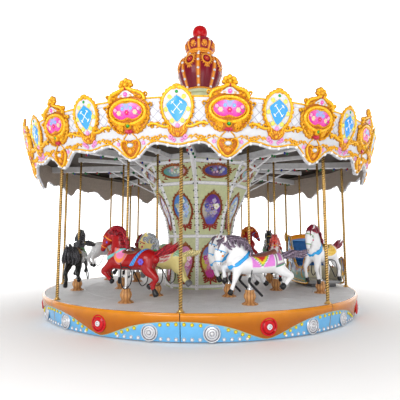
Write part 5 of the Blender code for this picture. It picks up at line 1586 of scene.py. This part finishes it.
def tack(s, style, host):
    """Cloths, saddle and straps draped over the skin, with rosettes and the foot loops or bars at both sides."""
    kind, croup = style["cloth"], style["croup"]
    if kind == "show":
        pieces = [cloth(.02, -.318, lambda t: 112 + 0 * t, show_pattern, 20, 41),
                  cloth(-.326, -.47, lambda t: 116 - 10 * t, flap_pattern(croup[1], croup[0], (.8, .82, .78)), 14, 33)]
    elif kind == "flap":
        t = np.linspace(-1, 1, 41)[:, None]
        w = np.linspace(-.5, .5, 5)[None, :]
        points = trunk_at(-.345 + .185 * np.abs(t) ** 1.2 - w * .085, t * 118 + 0 * w, .012)
        spots = np.where((np.sin(t * 60) * np.cos(w * 12) > .1)[..., None], *croup)
        pieces = [cloth(.145, -.075, lambda t: 52 + 62 * np.sin(np.pi * np.clip(t, .02, .98)) ** .7,
                        flap_pattern(*style["colours"])),
                  (points[::-1, ::-1], strap_rise(points), spots)]
    else:
        pieces = [cloth(.06, -.33, lambda t: 84 + 18 * np.sin(np.pi * t), scale_pattern(*style["colours"])),
                  cloth(-.36, -.47, lambda t: 70 - 10 * t, scale_pattern(*croup))]
    pieces.append(saddle(.035, -.4 if kind == "show" else -.215, style["seat"]))
    points = ring(*s["strap"], .075 if kind == "scale" else .058)
    # The strap is darker at its rounded edges and lighter in its middle: painted shade and highlight.
    strap_shade = np.array(style["strap"]) * np.array([.75, 1.0, 1.15, 1.0, .75])[None, :, None]
    pieces.append((points, strap_rise(points), strap_shade))
    head, bridle = np.array(s["head"]), np.array(style["bridle"])
    narrow = np.array([-.001, .004, .004, -.001])
    for k in (3.6, 1.2):
        row, ahead = [np.array([np.interp(j, np.arange(len(head)), column) for column in head.T]) for j in (k, k + .4)]
        tilt = np.degrees(np.arctan2(ahead[1] - row[1], ahead[0] - row[0])) + 90
        points = ring(row[0], row[1], tilt, row[3] + .006, row[2] + .006, .017, 24, 4)
        pieces.append((points, narrow, bridle))
    t = np.linspace(0, 1, 14)[:, None]
    x = head[0, 0] + (head[4, 0] - head[0, 0]) * t - .03 * np.sin(np.pi * t)
    z = head[0, 1] + (head[4, 1] - head[0, 1]) * t - .02 * np.sin(np.pi * t)
    for side in (1, -1):
        w = np.linspace(-.5, .5, 4)[None, :] * .016 * side
        pieces.append((np.stack(np.broadcast_arrays(x + w, .07 * side, z), -1), narrow, bridle * .9))
    wrapped = draped([piece[0] for piece in pieces], host)
    closed_lengths = (36, 24)
    parts = [raised(points, rise, colour, len(points) in closed_lengths, 2)
             for points, (_, rise, colour) in zip(wrapped, pieces)]
    ex, ez = s["eye"]
    knot = blob(ex - .022, .05, ez - .052, .016, .012, .016, style["flower"], mat=2)
    parts += [knot, (knot[0] * (1, -1, 1), knot[1][:, ::-1], *knot[2:])]
    for side in (1, -1):
        for a in np.radians(60 * np.arange(6)) if kind == "flap" else ():
            x, z = -.335 + .026 * np.cos(a), -.15 + .026 * np.sin(a)
            parts.append(blob(x, side * .1385, z, .02, .01, .02, style["flower"], 10, 5, mat=2))
        if kind == "show":
            path = np.array(FOOT_BAR) * (1, side, 1)
            tread = np.array([path[1] + (.01, 0, .02), path[2], path[3]])
            parts += [rod(path[:3], .0065, mat=3),
                limb([(*p, .009, .017) for p in tread], 14, 10, (.02, .02, .02), mat=3)]
            parts += [rod([p + (-.004, y, .004) for y in (.012, -.012)], .0035, 5, mat=3) for p in flow(tread[1:], 7)]
        else:
            path = np.array(FOOT_LOOP) * (1, side, 1)
            parts += [rod(path, .0075, closed=True, mat=3), rod([path[0], (.012, side * .118, -.165)], .0065, mat=3)]
    return parts


def shaded(points, faces, coat, face=None, head=()):
    """A coat's colour over the skin: lighter where the skin faces up and darker where it faces down, under the belly,
    as painted light and shade; with the face's own colour round the head's line.
    """
    coat = np.array(coat, float)
    edge = points[faces]
    normal = np.cross(edge[:, 1] - edge[:, 0], edge[:, 2] - edge[:, 0])
    lean = np.zeros(len(points))
    count = np.zeros(len(points))
    share = normal[:, 2] / np.maximum(np.linalg.norm(normal, axis=1), 1e-12)
    np.add.at(lean, faces, share[:, None])
    np.add.at(count, faces, 1.0)
    lean = lean / np.maximum(count, 1)
    paint = coat * (1.0 + .06 * np.clip(lean, -1, 1) - .1 * np.clip(-lean, 0, 1))[:, None]
    if face is not None:
        line = flow(np.array(head)[:, :2], 30)
        near = np.hypot(points[:, None, 0] - line[:, 0], points[:, None, 2] - line[:, 1]).min(1)
        paint = np.where((near < .072)[:, None], np.array(face), paint)
    return paint


RIDERS = [  # name, angle, height of the back, stance, coat
    ("outer_left_front", -22.5, 1.059, "high", "red"), ("outer_right_front", 22.5, 1.016, "low", "white"),
    ("outer_right", 67.5, 1.105, "upright", "pearl"), ("outer_right_rear", 157.5, 1.18, "high", "plumed"),
    ("outer_left_rear", -157.5, 1.01, "high", "pearl"), ("outer_left_middle", -112.5, 1.14, "low", "grey"),
    ("outer_left", -67.5, 1.043, "high", "black"), ("inner_left_front", -22.5, 1.02, "tucked", "cream"),
    ("inner_right_front", 22.5, .98, "tucked", "white"), ("inner_right", 67.5, 1.05, "low", "scarlet"),
    ("inner_right_middle", 112.5, 1.1, "tucked", "black"), ("inner_right_rear", 157.5, 1.0, "low", "white"),
    ("inner_left_rear", -157.5, 1.09, "high", "cream"), ("inner_left_middle", -112.5, 1.03, "tucked", "red"),
    ("inner_left", -67.5, 1.08, "high", "pearl"),
]
TOE_IN = {"outer_left": -10.0, "outer_right": -17.0, "inner_right_front": 6.0, "inner_right": 15.0,
    "inner_right_middle": -28.0}
skins = {stance: skin(s) for stance, s in STANCES.items()}
brass_pole = twisted(.0187, -.012, 1.66, pitch=.068, step=.0113, depth=.16)
sleeve = lathe([(.019, -.762), (.0189, -.755), (.0189, -.3), (.0189, -.02)], 16, (.8, .8, .78))
clamp = [(.019, -.02), (.034, -.016), (.036, 0.0), (.03, .012), (.024, .016), (.0185, .017)]
clamp = lathe(clamp, 18, (.7, .7, .7), 5)
for name, angle, back, stance, coat in RIDERS:
    style, s, host = COATS[coat], STANCES[stance], skins[stance]
    row, toe_in = name[:5], TOE_IN.get(name, 0.0)
    points, faces = host
    quads = np.concatenate([faces, faces[:, 2:]], 1)
    parts = [(points, quads, shaded(points, faces, style["coat"], style.get("face"), s["head"]), 0)]
    parts += head_parts(s, style["coat"], style["hair"]) + hooves(s, style.get("hoof", BLACK))
    parts += hair(s, *style["hair"], style.get("tail", style["hair"]), .032 if row == "outer" else 0.0, coat == "black")
    parts += tack(s, style, host) + [(*moved(brass_pole, turns(-toe_in))[:3], 4), sleeve, clamp]
    place = shift(*at(ROWS[row], angle, back)) @ turns(angle + 180.0 + toe_in)[0]
    make("horse_" + name, [moved(part, place) for part in parts],
        [horse_paint, hair_paint, tack_paint, black_rod, brass, nickel],
        ["horse_" + name], "horse_" + name, 55.0)

# Chariot: a low carriage of painted glass fibre on a timber floor, open above, for riders who want a seat.
# Two scrolled walls carry a padded bench; the back board curls over, and gilt borders edge every panel.
chariot_paint = finish("chariot_paint", None, rough=.24, spread=.05, grain=10.0, bump=.04, coat=.7, dirt=.05)
leather = finish("leather", (.02, .12, .36), rough=.42, spread=.2, grain=55.0, bump=.35)
ROYAL, SEA_GREEN, SCARLET, ORANGE_PAINT = (.02, .17, .5), (.05, .36, .22), (.6, .02, .015), (.85, .3, .02)
wall_top = np.array([(-.56, .7), (-.535, .86), (-.5, .93), (-.43, .925), (-.36, .86), (-.24, .6), (-.15, .43),
    (-.05, .345), (.15, .325), (.3, .365), (.36, .45), (.42, .515), (.49, .525), (.53, .45), (.55, .31)])
wall_low = np.array([(-.56, .69), (-.545, .3), (-.53, .065), (.42, .065), (.5, .18), (.55, .3)])


def wall_grid(y, bulge, side, count=46):
    """A wall's face: rows between its low and high lines, bowed outward by the bulge."""
    x = np.linspace(-.5595, .5495, count)[:, None]
    low = np.interp(x, wall_low[:, 0], wall_low[:, 1])
    high = np.interp(x, wall_top[:, 0], wall_top[:, 1])
    t = np.linspace(0, 1, 15)[None, :]
    z = low + (high - low) * t
    bow = bulge * np.sin(np.pi * t) ** .5 * np.clip((.56 - np.abs(x)) / .1, 0, 1)
    points = np.stack([x + 0 * z, y + bow * np.sign(y + 1e-9) * side, z], -1)
    paint = blend(SEA_GREEN, ROYAL, np.clip((z - .2) / .1, 0, 1)[..., None])
    paint = np.where((z > .62)[..., None], (.03, .3, .66), paint)
    return points, paint


chariot = []
for sign in (1, -1):
    outer_face, paint = wall_grid(.33 * sign, .01, 1)
    inner_face, _ = wall_grid(.3 * sign, 0.0, 1)
    flip = slice(None, None, -1) if sign > 0 else slice(None)
    back = slice(None) if sign > 0 else slice(None, None, -1)
    chariot.append(grid(outer_face[flip], paint[flip]))
    chariot.append(grid(inner_face[back], (.7, .66, .52)))
    edges = [np.stack([inner_face[:, -1], outer_face[:, -1]], 1), np.stack([outer_face[:, 0], inner_face[:, 0]], 1)]
    for edge in edges:
        chariot.append(grid(edge[flip], GOLD))


def on_wall(part, sign):
    """Lays a (u, v, h) part on a wall's outside, u forward."""
    out = laid(part, lambda u, v, h: np.stack([u, sign * (.333 + h), v], -1), sign > 0)
    return (*out[:3], {0: 1, 2: 0}[out[3]])


rim_line = np.concatenate([flow(wall_top, 50), flow(wall_low[::-1], 24)[1:-1]])
trim = [ribbon(rim_line[::-1], .018, .01, across=5, wrap=True)]
trim += scroll(-.49, .885, -120, -400, .62, .022, .02, 20, 1.3)
trim += scroll(.455, .48, -95, 420, .5, .02, .02, 19, 1.3)
trim += scroll(-.46, .2, 0, 260, .44, .018, .016, 16, 1.2)
trim += scroll(.34, .16, 180, -260, .4, .018, .016, 16, 1.2)
for u, v, heading, turn, length, tint in ((-.3, .62, 120, 60, .2, SCARLET), (-.3, .6, 100, 40, .15, ORANGE_PAINT),
        (-.22, .46, 150, 50, .2, (.8, .8, .78)), (0.0, .24, 40, 40, .16, SCARLET), (0.0, .24, 140, -40, .16, SCARLET),
        (0.0, .24, 90, 0, .085, ORANGE_PAINT), (.34, .3, 60, 50, .16, SCARLET), (.36, .26, 40, 50, .13, (.8, .8, .78)),
        (-.5, .42, 80, -30, .2, ORANGE_PAINT)):
    trim.append(leaf(u, v, heading, length, length * .2, .014, turn, high=tint, low=np.array(tint) * .4, mat=2))
trim += flower(0.0, .215, .04, (.85, .6, .08), (.6, .05, .02), height=.014, mat=2)
trim.append(ribbon([(-.5, .105), (-.2, .1), (.1, .1), (.4, .105)], .012, .008, across=4))
for u in np.arange(-.46, .4, .075):
    trim.append(bead(u, .128, .011, .011, .01, (.85, .7, .1), (.5, .35, .05), 3, 10, mat=2))
for sign in (1, -1):
    chariot += [on_wall(part, sign) for part in trim]


def pillow(x, y, z, rx, ry, rz, colour, power=.3, sides=36, rings=14, mat=0, tilt=0.0):
    """A rounded block: an ellipsoid whose sines and cosines are raised to a power under one."""
    def soft(value):
        return np.sign(value) * np.abs(value) ** power
    a = np.arange(sides)[:, None] * 2 * np.pi / sides
    b = np.linspace(-np.pi / 2, np.pi / 2, rings)[None, :]
    px, py = rx * soft(np.cos(b)) * soft(np.sin(a)), -ry * soft(np.cos(b)) * soft(np.cos(a))
    pz = rz * soft(np.sin(b)) + 0 * a
    t = np.radians(tilt)
    return grid(np.stack([x + px * np.cos(t) + pz * np.sin(t), y + py, z - px * np.sin(t) + pz * np.cos(t)], -1),
        colour, wrap_u=True, mat=mat)


def tufted(width, depth, thick, across, along):
    """A padded seat: its top swells between a grid of buttons and rounds over at its edges."""
    u = np.linspace(-1, 1, 41)[:, None]
    v = np.linspace(-1, 1, 25)[None, :]
    edge = (1 - np.abs(u) ** 8) * (1 - np.abs(v) ** 6)
    tuft = np.abs(np.cos(np.pi * u * across / 2)) * np.abs(np.cos(np.pi * v * along / 2))
    height = thick * np.maximum(edge, 0) ** .35 * (.72 + .28 * tuft ** .5)
    lid = np.stack(np.broadcast_arrays(v * depth, u * width, height), -1)
    points = np.concatenate([lid, lid[:, ::-1] * (1, 1, 0)], 1)
    return grid(points[::-1], wrap_v=True, mat=2)


chariot.append(pillow(0.0, 0.0, .037, .448, .248, .036, (.12, .12, .13), .18))
chariot.append(pillow(-.005, 0.0, .09, .5, .305, .03, (.3, .3, .31), .15))
chariot.append(pillow(-.22, 0.0, .215, .178, .3, .14, (.6, .54, .36), .16))
seat_pad = tufted(.285, .165, .06, 5, 3)
pads = [moved(seat_pad, shift(-.2, 0.0, .352))]
lean_back = np.eye(4)
lean_back[:3, :3] = [[.14, 0, .99], [0, 1, 0], [-.99, 0, .14]]
lean_back[:3, 3] = (-.372, 0.0, .62)
pads.append(moved(tufted(.285, .205, .045, 5, 3), lean_back))
v = np.linspace(-.305, .305, 25)[:, None]
profile = flow([(-.372, .1), (-.362, .42), (-.392, .78), (-.425, .88), (-.47, .92), (-.52, .89), (-.528, .8),
    (-.505, .5), (-.515, .1)], 40)
crown_line = 1 + .045 * np.cos(v / .305 * np.pi / 2)
board = np.stack([profile[None, :, 0] + 0 * v, v + 0 * profile[None, :, 0],
    profile[None, :, 1] * np.where(profile[None, :, 1] > .6, crown_line, 1.0)], -1)
tone = np.where((profile[:, 1] > .84)[:, None], np.array(ORANGE_PAINT), np.array((.03, .24, .62)))
chariot.append(grid(board[::-1], tone[None] + 0 * board))
for y0, y1 in ((-.305, -.3045), (.3045, .305)):
    cap = np.stack([board[0 if y0 < 0 else -1], np.broadcast_to(board[0 if y0 < 0 else -1].mean(0), board[0].shape)], 0)
    chariot.append(grid(cap if y0 > 0 else cap[::-1], ROYAL))
for side in (1, -1):
    chariot += [rod([(-.528, side * .1, .3), (-.54, side * .2, .45), (-.535, side * .18, .62), (-.528, side * .06, .7)],
        .01, 8, colour=GOLD, mat=1)]
chariot_place = shift(*at(2.2, 100.0, DECK_TOP + .0005)) @ turns(100.0 + 180.0)[0]
chariot_finishes = [chariot_paint, gold_leaf, leather, black_rod]
make("chariot_body", [moved(part, chariot_place) for part in chariot], chariot_finishes, ["chariot"],
    sharp=50.0)
for name, pad in zip(("chariot_seat_pad", "chariot_back_pad"), pads):
    make(name, [(*moved(pad, chariot_place)[:3], 0)], [leather])
hand_pole = twisted(.0187, .42, 2.679, pitch=.078, step=.0095, sides=8, depth=.16)
make("chariot_pole", [moved(hand_pole, shift(*at(ROWS["outer"], 112.5, 0.0)))], [brass])
